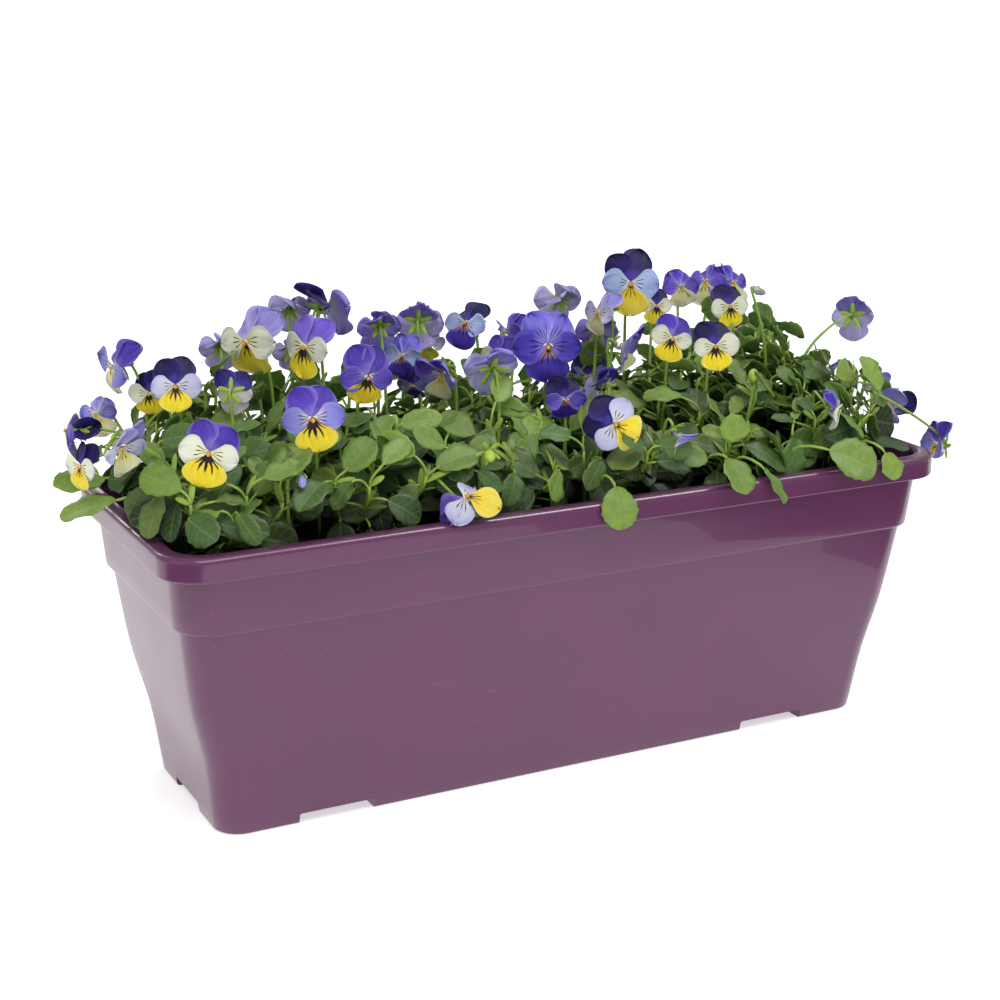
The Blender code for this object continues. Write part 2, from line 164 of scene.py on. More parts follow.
def dress(shader: bpy.types.Node, colour: bpy.types.NodeSocket,
          relief: Sequence[tuple[bpy.types.Node, float, float]],
          **values: Any) -> None:
    """Give a shader its colour, its relief and its other inputs.

    Args:
        shader: the Principled node.
        colour: the socket that feeds the base colour.
        relief: height, strength and depth of each bump, coarse to fine,
            where a depth below zero sinks what is high.
        **values: other input values, such as Coat_Weight=0.5.
    """
    tree = shader.id_data
    tree.links.new(colour, shader.inputs["Base Color"])
    under = {}
    for height, strength, depth in relief:
        under = {"Normal": add_node(
            tree, "Bump", {"Strength": strength, "Distance": abs(depth),
                           "invert": depth < 0},
            {"Height": height, **under})}
    tree.links.new(under["Normal"].outputs[0], shader.inputs["Normal"])
    set_inputs(shader, **values)


def sheet_places(tree: bpy.types.NodeTree) -> tuple[bpy.types.Node, ...]:
    """Read the tone and the place on a sheet such as a leaf or a petal.

    Args:
        tree: the material's node tree.

    Returns:
        The split tone, the texture coordinates, the split coordinates, the
        place from the middle across and its distance.
    """
    tone = add_node(tree, "VertexColor", {"layer_name": "tone"})
    split = add_node(tree, "SeparateColor", None, {0: tone})
    coords = add_node(tree, "UVMap", {"uv_map": "surface"})
    axes = add_node(tree, "SeparateXYZ", None, {0: coords})
    centred = add_node(tree, "Math", {"operation": "SUBTRACT", 1: 0.5},
                       {0: axes})
    off = add_node(tree, "Math", {"operation": "ABSOLUTE"}, {0: centred})
    return split, coords, axes, centred, off


# --------------------------------------------------------------------------
# Mesh building
# --------------------------------------------------------------------------

def grid_quads(rows: int, cols: int) -> np.ndarray:
    """Corner numbers of every quad of a grid of points, row by row.

    Args:
        rows: points down the grid.
        cols: points across the grid.

    Returns:
        Four point numbers for each quad.
    """
    index = np.arange(rows * cols).reshape(rows, cols)
    corners = (index[:-1, :-1], index[:-1, 1:], index[1:, 1:], index[1:, :-1])
    return np.stack([c.ravel() for c in corners], axis=1)


def rim_loop(rows: int, cols: int) -> np.ndarray:
    """Boundary point numbers of a grid, counter-clockwise.

    Args:
        rows: points down the grid.
        cols: points across the grid.

    Returns:
        The point numbers, once round the edge.
    """
    index = np.arange(rows * cols).reshape(rows, cols)
    return np.concatenate([index[0, :-1], index[:-1, -1],
                           index[-1, :0:-1], index[:0:-1, 0]])


def ring_faces(rows: int, sides: int) -> list[list[int]]:
    """Faces of a closed loft through rings of points.

    Args:
        rows: how many rings.
        sides: points in each ring.

    Returns:
        The sides' quads, ring by ring, then the first and last ends.
    """
    faces = []
    for r in range(rows - 1):
        for s in range(sides):
            n = (s + 1) % sides
            faces.append([r * sides + s, r * sides + n,
                          (r + 1) * sides + n, (r + 1) * sides + s])
    faces.append(list(range(sides))[::-1])
    faces.append([(rows - 1) * sides + s for s in range(sides)])
    return faces


def mesh_object(name: str, points: Sequence[Sequence[float]],
                faces: Sequence[Sequence[int]],
                *materials: bpy.types.Material) -> bpy.types.Object:
    """Make a mesh object and link it to the scene.

    Args:
        name: the object's name.
        points: its points.
        faces: corner numbers of each face.
        *materials: its materials.

    Returns:
        The new object.
    """
    mesh = bpy.data.meshes.new(name)
    mesh.from_pydata(points, [], faces)
    for material in materials:
        mesh.materials.append(material)
    obj = bpy.data.objects.new(name, mesh)
    bpy.context.scene.collection.objects.link(obj)
    return obj


def carry_axes(path: np.ndarray) -> tuple[np.ndarray, np.ndarray]:
    """Two axes across a path that turn with it without twisting.

    Args:
        path: points along the path, one per row.

    Returns:
        The first and second cross axis at each point.
    """
    tangents = np.gradient(path, axis=0)
    tangents /= np.linalg.norm(tangents, axis=1, keepdims=True) + 1e-12
    start = Vector(tangents[0])
    guide = Vector((1, 0, 0)) if abs(start.x) < 0.8 else Vector((0, 1, 0))
    first = start.cross(guide).normalized()
    firsts = []
    before = start
    for tangent in tangents:
        now = Vector(tangent)
        first = before.rotation_difference(now) @ first
        firsts.append(first)
        before = now
    first_axes = np.array(firsts)
    return first_axes, np.cross(tangents, first_axes)


def bezier(points: Sequence[Vector], steps: int) -> np.ndarray:
    """Points along a cubic curve.

    Args:
        points: its four control points.
        steps: pieces that the curve is cut into.

    Returns:
        One point per row, one more than there are steps.
    """
    t = np.linspace(0, 1, steps + 1)[:, None]
    a, b, c, d = (np.array(p) for p in points)
    return (a * (1 - t) ** 3 + b * 3 * t * (1 - t) ** 2
            + c * 3 * t * t * (1 - t) + d * t ** 3)


def direction(azimuth: float, elevation: float) -> Vector:
    """Unit vector towards one side of the box.

    Args:
        azimuth: degrees, 0 at the box's front and 90 at its right end.
        elevation: degrees above level.

    Returns:
        The unit vector.
    """
    a = math.radians(azimuth)
    e = math.radians(elevation)
    return Vector((math.sin(a) * math.cos(e), -math.cos(a) * math.cos(e),
                   math.sin(e)))


class SurfaceBuilder:
    """Collects patches of faces and makes one mesh piece of them."""

    def __init__(self) -> None:
        """Start with no faces."""
        self._points: list[np.ndarray] = []
        self._faces: list[list[int]] = []
        self._slots: list[int] = []
        self._uvs: list[np.ndarray] = []
        self._tones: list[np.ndarray] = []
        self._count = 0

    def patch(self, points: np.ndarray, faces: Sequence[Sequence[int]],
              slot: Any, uv: np.ndarray, tone: Sequence[float]) -> None:
        """Add points and faces.

        Args:
            points: one point per row.
            faces: corner numbers within points.
            slot: material number, or one for each face.
            uv: one texture coordinate per point.
            tone: red, green and blue of the patch's tone colour.
        """
        base = self._count
        self._points.append(points)
        self._uvs.append(uv)
        self._tones.append(np.tile(np.array([*tone, 1.0]), (len(points), 1)))
        self._faces.extend([[i + base for i in face] for face in faces])
        many = slot if isinstance(slot, list) else [slot] * len(faces)
        self._slots.extend(many)
        self._count += len(points)

    def sheet(self, grid: np.ndarray, uv: np.ndarray, thickness: float,
              front: int, back: int, tone: Sequence[float]) -> None:
        """Add a thin two-sided sheet with a closed edge.

        Args:
            grid: rows by columns of points on the middle surface.
            uv: rows by columns of texture coordinates.
            thickness: the sheet's thickness.
            front: material number of the upper face.
            back: material number of the under face.
            tone: the sheet's tone colour.
        """
        rows, cols = grid.shape[:2]
        normal = np.cross(np.gradient(grid, axis=1), np.gradient(grid, axis=0))
        normal /= np.linalg.norm(normal, axis=2, keepdims=True) + 1e-12
        top = (grid + normal * thickness / 2).reshape(-1, 3)
        low = (grid - normal * thickness / 2).reshape(-1, 3)
        quads = grid_quads(rows, cols)
        size = rows * cols
        loop = rim_loop(rows, cols)
        ahead = np.roll(loop, -1)
        rim = np.stack([loop + size, ahead + size, ahead, loop], axis=1)
        faces = np.concatenate([quads, quads[:, ::-1] + size, rim]).tolist()
        slots = ([front] * len(quads) + [back] * len(quads)
                 + [front] * len(rim))
        flat = uv.reshape(-1, 2)
        self.patch(np.concatenate([top, low]), faces, slots,
                   np.concatenate([flat, flat]), tone)

    def tube(self, path: np.ndarray, radii: Sequence[float], sides: int,
             slot: int, tone: Sequence[float]) -> None:
        """Add a closed round tube along a path.

        Args:
            path: points along the middle.
            radii: radius at each point.
            sides: points round the tube.
            slot: material number.
            tone: the tube's tone colour.
        """
        first, second = carry_axes(path)
        angles = np.linspace(0, 2 * math.pi, sides, endpoint=False)
        across = (first[:, None, :] * np.cos(angles)[None, :, None]
                  + second[:, None, :] * np.sin(angles)[None, :, None])
        points = path[:, None, :] + across * np.array(radii)[:, None, None]
        rows = len(path)
        uv = np.stack(np.meshgrid(np.linspace(0, 1, sides),
                                  np.linspace(0, 1, rows)), axis=2)
        self.patch(points.reshape(-1, 3), ring_faces(rows, sides), slot,
                   uv.reshape(-1, 2), tone)

    def blob(self, centre: Vector, axis: Vector, length: float, radius: float,
             slot: int, tone: Sequence[float], sides: int = 8) -> None:
        """Add a small closed egg shape.

        Args:
            centre: its middle.
            axis: unit vector along its length.
            length: its length.
            radius: its greatest radius.
            slot: material number.
            tone: its tone colour.
            sides: points round it.
        """
        t = np.linspace(-0.98, 1, 7)
        t[-1] = 0.97
        path = np.array([centre + axis * (length / 2 * v) for v in t])
        radii = radius * np.sqrt(1 - t ** 2)
        self.tube(path, radii, sides, slot, tone)

    def build(self, name: str,
              materials: Sequence[bpy.types.Material]) -> bpy.types.Object:
        """Make the mesh object.

        Args:
            name: the piece's name.
            materials: one for each material number.

        Returns:
            The new object, linked to the scene.
        """
        points = np.concatenate(self._points).tolist()
        obj = mesh_object(name, points, self._faces, *materials)
        mesh = obj.data
        mesh.polygons.foreach_set("material_index", self._slots)
        corners = np.zeros(len(mesh.loops), dtype=np.int32)
        mesh.loops.foreach_get("vertex_index", corners)
        uv_layer = mesh.uv_layers.new(name="surface")
        uv_layer.data.foreach_set(
            "uv", np.concatenate(self._uvs)[corners].ravel())
        tone = mesh.color_attributes.new("tone", "FLOAT_COLOR", "POINT")
        tone.data.foreach_set("color", np.concatenate(self._tones).ravel())
        mesh.polygons.foreach_set("use_smooth", [True] * len(mesh.polygons))
        mesh.update()
        return obj


def nodes_named(*starts: str) -> list[str]:
    """CAD nodes whose names begin with one of the starts, in order."""
    return sorted(n for n in frame["nodes"] if n.startswith(starts))


def node_points(name: str) -> np.ndarray:
    """Points of a CAD node, one per row."""
    return np.array([v.co for v in frame["nodes"][name].data.vertices])


def place(obj: bpy.types.Object, slot: str, *nodes: str) -> None:
    """Ride a piece on the box and hide the CAD nodes it stands for.

    Args:
        obj: the piece.
        slot: the record's slot that its looks belong to; not used.
        *nodes: the CAD nodes it stands for, none for an added piece.
    """
    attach(obj, "root")
    if nodes:
        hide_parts(*nodes)
    LOG.info("%s: %d faces", obj.name, len(obj.data.polygons))


# --------------------------------------------------------------------------
# Finishes
# --------------------------------------------------------------------------

@dataclass(frozen=True)
class MouldedPolypropylene:
    """Injection-moulded polypropylene, dyed aubergine and glossy.

    The eye sees a deep plum body under a clear gloss, long soft reflections
    that wobble a little where the wall shrank in the mould, and hair
    scratches and dust on the lip where it is handled.
    """

    body: str = "#632A56"
    deep: str = "#56234D"
    dust: str = "#A98FA4"
    roughness: float = 0.30
    ior: float = 1.49

    def material(self) -> bpy.types.Material:
        """Make the material.

        Returns:
            The finished material.
        """
        # Moulded against polished steel: a clear gloss over deep plum.
        material, shader = new_material("aubergine_polypropylene_moulded")
        tree = material.node_tree
        spot = add_node(tree, "TexCoord").outputs["Object"]
        # Dye clouds about 60 mm across.
        clouds = add_node(tree, "TexNoise",
                          {"Scale": 1 / (60 * MM), "Detail": 3.0}, {0: spot})
        colour = add_node(tree, "Mix",
                          {"data_type": "RGBA", 6: linear(self.deep),
                           7: linear(self.body)}, {0: clouds})
        # Dust specks about 0.6 mm across, drawn coarse enough to show.
        specks = add_node(tree, "TexVoronoi",
                          {"Scale": 1 / (9 * MM), "Randomness": 1.0},
                          {0: spot})
        speck_mask = add_node(tree, "MapRange",
                              {"range": (0.035, 0.05, 0.3, 0.0)},
                              {"Value": specks})
        # Hair scratches 33 mm long and 4 mm apart, a stretched noise drawn
        # where it crosses its middle and coarse enough to show.
        stretch = add_node(tree, "Mapping",
                           {"Scale": (30.0, 240.0, 240.0),
                            "Rotation": (0.3, 0.5, 0.35)}, {"Vector": spot})
        scratch = add_node(tree, "TexNoise", {"Scale": 1.0, "Detail": 1.0},
                           {0: stretch})
        crossing = add_node(tree, "Math", {"operation": "SUBTRACT", 1: 0.5},
                            {0: scratch})
        distance = add_node(tree, "Math", {"operation": "ABSOLUTE"},
                            {0: crossing})
        line = add_node(tree, "MapRange", {"range": (0.0, 0.006, 1.0, 0.0)},
                        {"Value": distance})
        patch = add_node(tree, "TexNoise",
                         {"Scale": 1 / (45 * MM), "Detail": 2.0}, {0: spot})
        patch_mask = add_node(tree, "MapRange",
                              {"range": (0.64, 0.74, 0.0, 0.28)},
                              {"Value": patch})
        worn = add_node(tree, "Math", {"operation": "MULTIPLY"},
                        {0: line, 1: patch_mask})
        marks = add_node(tree, "Math", {"operation": "MAXIMUM"},
                         {0: speck_mask, 1: worn})
        dusty = add_node(tree, "Mix",
                         {"data_type": "RGBA", 7: linear(self.dust)},
                         {0: marks, 6: colour.outputs[2]})
        rough = add_node(tree, "MapRange",
                         {"range": (0.0, 1.0, self.roughness - 0.05,
                                    self.roughness + 0.08)},
                         {"Value": clouds})
        tree.links.new(rough.outputs[0], shader.inputs["Roughness"])
        # Shrink waves about 90 mm long and a faint 3 mm orange peel.
        waves = add_node(tree, "TexNoise",
                         {"Scale": 1 / (90 * MM), "Detail": 1.0}, {0: spot})
        peel = add_node(tree, "TexNoise",
                        {"Scale": 1 / (3 * MM), "Detail": 1.0}, {0: spot})
        dress(shader, dusty.outputs[2],
              ((waves, 0.10, 4 * MM), (peel, 0.05, 0.05 * MM)), IOR=self.ior,
              Coat_Weight=0.36, Coat_Roughness=0.04, Coat_IOR=1.5)
        return material


@dataclass(frozen=True)
class PeatMix:
    """Peat potting mix: nearly black, damp, with paler fibres and crumbs."""

    dark: str = "#1C130D"
    brown: str = "#3A281B"
    fibre: str = "#6A4E35"

    def material(self) -> bpy.types.Material:
        """Make the material.

        Returns:
            The finished material.
        """
        # Sieved and damp: dull, almost black, with brown crumbs and fibres.
        material, shader = new_material("peat_potting_mix_sieved")
        tree = material.node_tree
        spot = add_node(tree, "TexCoord").outputs["Object"]
        # Crumbs about 3 mm across.
        crumbs = add_node(tree, "TexVoronoi",
                          {"Scale": 1 / (3 * MM)}, {0: spot})
        colour = add_node(tree, "ValToRGB",
                          {"stops": ((0.0, linear(self.brown)),
                                     (0.55, linear(self.dark)),
                                     (1.0, linear(self.dark)))},
                          {0: crumbs})
        # Fibres about 1 mm wide.
        fibres = add_node(tree, "TexNoise",
                          {"Scale": 1 / (4 * MM), "Detail": 6.0,
                           "Distortion": 1.5}, {0: spot})
        thin = add_node(tree, "MapRange", {"range": (0.62, 0.70, 0.0, 0.7)},
                        {"Value": fibres})
        mixed = add_node(tree, "Mix",
                         {"data_type": "RGBA", 7: linear(self.fibre)},
                         {0: thin, 6: colour})
        dress(shader, mixed.outputs[2], ((crumbs, 0.8, 1.0 * MM),),
              Roughness=0.92, IOR=1.4)
        return material


@dataclass(frozen=True)
class LeafSkin:
    """Living leaf skin, matt with a faint wax bloom and sunken veins.

    Texture coordinates run across the blade and from its base to its tip.
    The tone colour holds painted shade in red, lower for leaves deeper in the
    plant, and youth in green.
    """

    name: str
    mature: str
    young: str
    painted_shade: str
    vein: str
    roughness: float = 0.5
    vein_show: float = 0.45

    def material(self) -> bpy.types.Material:
        """Make the material.

        Returns:
            The finished material.
        """
        # Grown under a thin wax: a satin sheen with pale sunken veins.
        material, shader = new_material(self.name + "_grown_waxy")
        tree = material.node_tree
        split, _, axes, _, off = sheet_places(tree)
        spot = add_node(tree, "TexCoord").outputs["Object"]
        midrib = add_node(tree, "MapRange",
                          {"range": (0.015, 0.055, 1.0, 0.0)}, {"Value": off})
        # Five pairs of side veins that sweep towards the tip.
        along = add_node(tree, "Math", {"operation": "MULTIPLY", 1: 6.0},
                         {0: axes.outputs[1]})
        sweep = add_node(tree, "Math", {"operation": "MULTIPLY_ADD", 1: -2.4},
                         {0: off, 2: along})
        wrap = add_node(tree, "Math", {"operation": "FRACT"}, {0: sweep})
        mid = add_node(tree, "Math", {"operation": "SUBTRACT", 1: 0.5},
                       {0: wrap})
        near = add_node(tree, "Math", {"operation": "ABSOLUTE"}, {0: mid})
        side = add_node(tree, "MapRange", {"range": (0.03, 0.12, 0.6, 0.0)},
                        {"Value": near})
        veins = add_node(tree, "Math", {"operation": "MAXIMUM"},
                         {0: midrib, 1: side})
        aged = add_node(tree, "Mix",
                        {"data_type": "RGBA", 6: linear(self.mature),
                         7: linear(self.young)}, {0: split.outputs[1]})
        # Painted shade: a low tone red mixes the leaf towards its dark shade
        # colour.
        lit = add_node(tree, "Mix",
                       {"data_type": "RGBA", 6: linear(self.painted_shade)},
                       {0: split, 7: aged.outputs[2]})
        # Mottling about 4 mm across.
        mottle = add_node(tree, "TexNoise",
                          {"Scale": 1 / (4 * MM), "Detail": 3.0}, {0: spot})
        shade = add_node(tree, "MapRange", {"range": (0.3, 0.7, 0.84, 1.14)},
                         {"Value": mottle})
        mottled = add_node(tree, "VectorMath", {"operation": "SCALE"},
                           {0: lit.outputs[2], "Scale": shade})
        show = add_node(tree, "Math",
                        {"operation": "MULTIPLY", 1: self.vein_show},
                        {0: veins})
        veined = add_node(tree, "Mix",
                          {"data_type": "RGBA", 7: linear(self.vein)},
                          {0: show, 6: mottled})
        dress(shader, veined.outputs[2],
              ((veins, 0.35, -0.4 * MM), (mottle, 0.25, 0.3 * MM)),
              Roughness=self.roughness, IOR=1.42, Subsurface_Weight=0.12,
              Subsurface_Scale=2 * MM, Subsurface_Radius=(0.5, 1.0, 0.2))
        return material


@dataclass(frozen=True)
class StemSkin:
    """Smooth green stalk skin, satin, in paler and darker streaks."""

    name: str = "green_stalk_skin"
    low: str = "#68903A"
    high: str = "#A8C652"

    def material(self) -> bpy.types.Material:
        """Make the material.

        Returns:
            The finished material.
        """
        # Grown smooth: a satin green that glows a little against the light.
        material, shader = new_material(self.name + "_grown_satin")
        tree = material.node_tree
        spot = add_node(tree, "TexCoord").outputs["Object"]
        streaks = add_node(tree, "TexNoise",
                           {"Scale": 1 / (6 * MM), "Detail": 2.0}, {0: spot})
        colour = add_node(tree, "Mix",
                          {"data_type": "RGBA", 6: linear(self.low),
                           7: linear(self.high)}, {0: streaks})
        dress(shader, colour.outputs[2], ((streaks, 0.2, 0.2 * MM),),
              Roughness=0.45, IOR=1.42, Subsurface_Weight=0.1,
              Subsurface_Scale=1 * MM, Subsurface_Radius=(0.5, 1.0, 0.2))
        return material


@dataclass(frozen=True)
class PetalSkin:
    """Viola petal: thin, velvety, with streaks that fan from the throat.

    Texture coordinates run across the petal and from throat to tip. A blotch
    of dark fingers may sit at the throat and whisker lines may run out of it.
    """

    name: str
    throat: str
    middle: str
    tip: str
    edge: str
    mark: str = "#1E0F22"
    blotch: float = 0.0
    whiskers: float = 0.0
    whisker_count: float = 6.0
    streak: float = 0.10

    def material(self) -> bpy.types.Material:
        """Make the material.

        Returns:
            The finished material.
        """
        # Grown as fine velvet: soft, matt colour with hair-fine streaks.
        material, shader = new_material(self.name + "_grown_velvety")
        tree = material.node_tree
        split, coords, axes, centred, off = sheet_places(tree)
        spot = add_node(tree, "TexCoord").outputs["Object"]
        # Uneven colour about 6 mm across shifts the bands of the petal.
        cloud = add_node(tree, "TexNoise",
                         {"Scale": 1 / (6 * MM), "Detail": 2.0}, {0: spot})
        shift = add_node(tree, "MapRange", {"range": (0.0, 1.0, -0.14, 0.14)},
                         {"Value": cloud})
        along = add_node(tree, "Math", {"operation": "ADD"},
                         {0: axes.outputs[1], 1: shift})
        bands = add_node(tree, "ValToRGB",
                         {"stops": ((0.05, linear(self.throat)),
                                    (0.42, linear(self.middle)),
                                    (0.88, linear(self.tip)))},
                         {0: along})
        edge_mask = add_node(tree, "MapRange",
                             {"range": (0.34, 0.5, 0.0, 0.75)}, {"Value": off})
        edged = add_node(tree, "Mix",
                         {"data_type": "RGBA", 7: linear(self.edge)},
                         {0: edge_mask, 6: bands})
        # Fine streaks about 0.5 mm apart along the petal.
        fan = add_node(tree, "Mapping", {"Scale": (34.0, 2.2, 1.0)},
                       {"Vector": coords})
        streaks = add_node(tree, "TexNoise", {"Scale": 1.0, "Detail": 2.0},
                           {0: fan})
        shade = add_node(tree, "MapRange",
                         {"range": (0.3, 0.7, 1.0 - self.streak,
                                    1.0 + self.streak)},
                         {"Value": streaks})
        bright = add_node(tree, "Math", {"operation": "MULTIPLY"},
                          {0: shade, 1: split})
        streaked = add_node(tree, "VectorMath", {"operation": "SCALE"},
                            {0: edged.outputs[2], "Scale": bright})
        colour = streaked.outputs[0]
        if self.blotch > 0 or self.whiskers > 0:
            wave = add_node(tree, "Math",
                            {"operation": "MULTIPLY",
                             1: self.whisker_count * 2 * math.pi},
                            {0: centred})
            cosine = add_node(tree, "Math", {"operation": "COSINE"}, {0: wave})
            reach = add_node(tree, "MapRange",
                             {"range": (-1.0, 1.0, self.blotch * 0.66,
                                        self.blotch)},
                             {"Value": cosine})
            inside = add_node(tree, "Math", {"operation": "SUBTRACT"},
                              {0: reach, 1: along})
            narrow = add_node(tree, "Math",
                              {"operation": "MULTIPLY_ADD", 1: -0.42},
                              {0: off, 2: inside})
            blot = add_node(tree, "MapRange", {"range": (-0.02, 0.03)},
                            {"Value": narrow})
            thin = add_node(tree, "MapRange", {"range": (0.45, 0.80)},
                            {"Value": cosine})
            far = add_node(tree, "MapRange",
                           {"range": (self.whiskers - 0.08,
                                      self.whiskers + 0.05, 1.0, 0.0)},
                           {"Value": along})
            lines = add_node(tree, "Math", {"operation": "MULTIPLY"},
                             {0: thin, 1: far})
            inner = add_node(tree, "MapRange",
                             {"range": (0.26, 0.34, 1.0, 0.0)}, {"Value": off})
            kept = add_node(tree, "Math", {"operation": "MULTIPLY"},
                            {0: lines, 1: inner})
            marks = add_node(tree, "Math", {"operation": "MAXIMUM"},
                             {0: blot, 1: kept})
            marked = add_node(tree, "Mix",
                              {"data_type": "RGBA", 7: linear(self.mark)},
                              {0: marks, 6: colour})
            colour = marked.outputs[2]
        dress(shader, colour, ((streaks, 0.3, 0.25 * MM),), Roughness=0.6,
              IOR=1.35, Sheen_Weight=0.05, Sheen_Roughness=0.4,
              Subsurface_Weight=0.15, Subsurface_Scale=1.5 * MM,
              Subsurface_Radius=(1.0, 0.8, 1.0))
        return material


class Upper(Enum):
    """Colours of a flower's two upper petals."""

    DARK = "dark violet"
    VIOLET = "violet"
    BRIGHT = "bright violet"
    LILAC = "lilac"
    BLUE = "blue violet"


class Side(Enum):
    """Colours of a flower's two side petals."""

    CREAM = "cream"
    PALE = "pale lilac"
    LILAC = "lilac blue"
    LIGHT_BLUE = "light blue"
    VIOLET = "violet side"
    BLUE = "blue side"


class Lip(Enum):
    """Colours of a flower's lip."""

    BLOTCHED = "yellow with a dark blotch"
    YELLOW = "yellow"
    CREAM = "cream lip"
    BLUE = "blue lip"


DARK_MARK = "#1C0E1C"

PETAL_SKINS = {
    Upper.DARK: PetalSkin("petal_dark_violet", "#5648B8", "#1F105E",
        "#0F0838", "#2C1C7A", streak=0.20),
    Upper.VIOLET: PetalSkin("petal_violet", "#9088D4", "#5842B4", "#40289C",
        "#887AD4", streak=0.26),
    Upper.BRIGHT: PetalSkin("petal_bright_violet", "#A296DC", "#745EC8",
        "#6C54C8", "#9686DC", streak=0.20),
    Upper.LILAC: PetalSkin("petal_lilac", "#C4BFE2", "#9A94D4", "#8A84CE",
        "#B2ADE0", streak=0.18),
    Upper.BLUE: PetalSkin("petal_blue_upper", "#9C9AE0", "#706ACC",
        "#6A62CC", "#9A94E0", "#241A78", 0.0, 0.56, 9.0, 0.18),
    Side.CREAM: PetalSkin("petal_cream", "#E9E6A8", "#E2E2C4", "#DDDED0",
        "#CDD0C8", DARK_MARK, 0.10, 0.46, streak=0.06),
    Side.PALE: PetalSkin("petal_pale_lilac", "#E8E4DA", "#CACAE2", "#B6B8DC",
        "#AEB2DC", DARK_MARK, 0.10, 0.46, streak=0.08),
    Side.LILAC: PetalSkin("petal_lilac_blue", "#E4E0D8", "#8F8ED0",
        "#7472C4", "#8583CC", DARK_MARK, 0.12, 0.46, streak=0.10),
    Side.LIGHT_BLUE: PetalSkin("petal_light_blue", "#D6DCE6", "#A3B4DC",
        "#8FA2D6", "#A9B8E0", DARK_MARK, 0.08, 0.40, streak=0.10),
    Side.VIOLET: PetalSkin("petal_violet_side", "#B0A8E2", "#6A58C4",
        "#5A46B8", "#8070D0", DARK_MARK, 0.10, 0.42, streak=0.16),
    Side.BLUE: PetalSkin("petal_blue_side", "#948CE0", "#4838AC", "#3A2C9A",
        "#5A4CBC", "#120A3C", 0.10, 0.55, streak=0.18),
    Lip.BLOTCHED: PetalSkin("petal_yellow_lip_blotched", "#E8B41A",
        "#EED21E", "#EED62E", "#E8D45C", DARK_MARK, 0.56, 0.58),
    Lip.YELLOW: PetalSkin("petal_yellow_lip", "#E8B41A", "#EED024",
        "#ECD84C", "#E6DC80", DARK_MARK, 0.34, 0.44),
    Lip.CREAM: PetalSkin("petal_cream_lip", "#EBCB3C", "#E0DA90", "#D8D6B4",
        "#CFCFC4", DARK_MARK, 0.18, 0.40),
    Lip.BLUE: PetalSkin("petal_blue_lip", "#E0A818", "#3C2C9C", "#30228C",
        "#4E3EB0", "#100830", 0.34, 0.52, streak=0.18),
}

VIOLET_BACK = PetalSkin("petal_back_violet", "#BCC2A4", "#8C82CA", "#7264C0",
                        "#9A90D6", streak=0.18)
DARK_BACK = PetalSkin("petal_back_dark", "#7D84A0", "#33278A", "#1E155E",
                      "#3D3196", streak=0.16)
LILAC_SHADE = PetalSkin("petal_back_lilac", "#D2D8B8", "#B8B2DC", "#A49CD6",
                        "#C2BCE4", streak=0.18)
CREAM_BACK = PetalSkin("petal_back_cream", "#CDD2A0", "#CFCFBA", "#C6C6C2",
                       "#BFBFCE")

BACK_SKINS = {
    Upper.DARK: DARK_BACK, Upper.VIOLET: VIOLET_BACK,
    Upper.BRIGHT: VIOLET_BACK, Upper.LILAC: LILAC_SHADE,
    Upper.BLUE: VIOLET_BACK, Side.CREAM: CREAM_BACK, Side.PALE: CREAM_BACK,
    Side.LILAC: LILAC_SHADE, Side.LIGHT_BLUE: LILAC_SHADE,
    Side.VIOLET: VIOLET_BACK, Side.BLUE: DARK_BACK,
}


class Finishes:
    """Every finish of the box and its plants, made once."""

    def __init__(self) -> None:
        """Make the materials."""
        self.plastic = MouldedPolypropylene().material()
        self.soil = PeatMix().material()
        # Leaf skins: mature, young, painted shade for deep leaves, then vein
        # colour.
        leaf = LeafSkin("viola_leaf_upper", "#4E6F38", "#8FAA40", "#0D1704",
                        "#8CA468", 0.5, 0.22)
        under = LeafSkin("viola_leaf_under", "#6F8A44", "#98AF58", "#223008",
                         "#A8BE7C", 0.6, 0.35)
        self.stem = StemSkin().material()
        self.blades = [leaf.material(), under.material(), self.stem]
        self.sepal = LeafSkin("viola_sepal", "#8FB242", "#B4CE54",
                              "#5C7C30", "#BCD274", 0.5, 0.2).material()
        self.petals = {part: skin.material()
                       for part, skin in PETAL_SKINS.items()}
        made = {skin: skin.material() for skin in
                (VIOLET_BACK, DARK_BACK, LILAC_SHADE, CREAM_BACK)}
        self.backs = {part: made[skin] for part, skin in BACK_SKINS.items()}
        self.eye = PetalSkin("orange_throat", "#D87A10", "#E89A10",
                             "#EBAE1C", "#E89A10").material()
        self.beard = PetalSkin("white_beard", "#DEDEC8", "#E2E2D0",
                               "#E4E4D4", "#E2E2D0").material()


# --------------------------------------------------------------------------
# The trough
# --------------------------------------------------------------------------

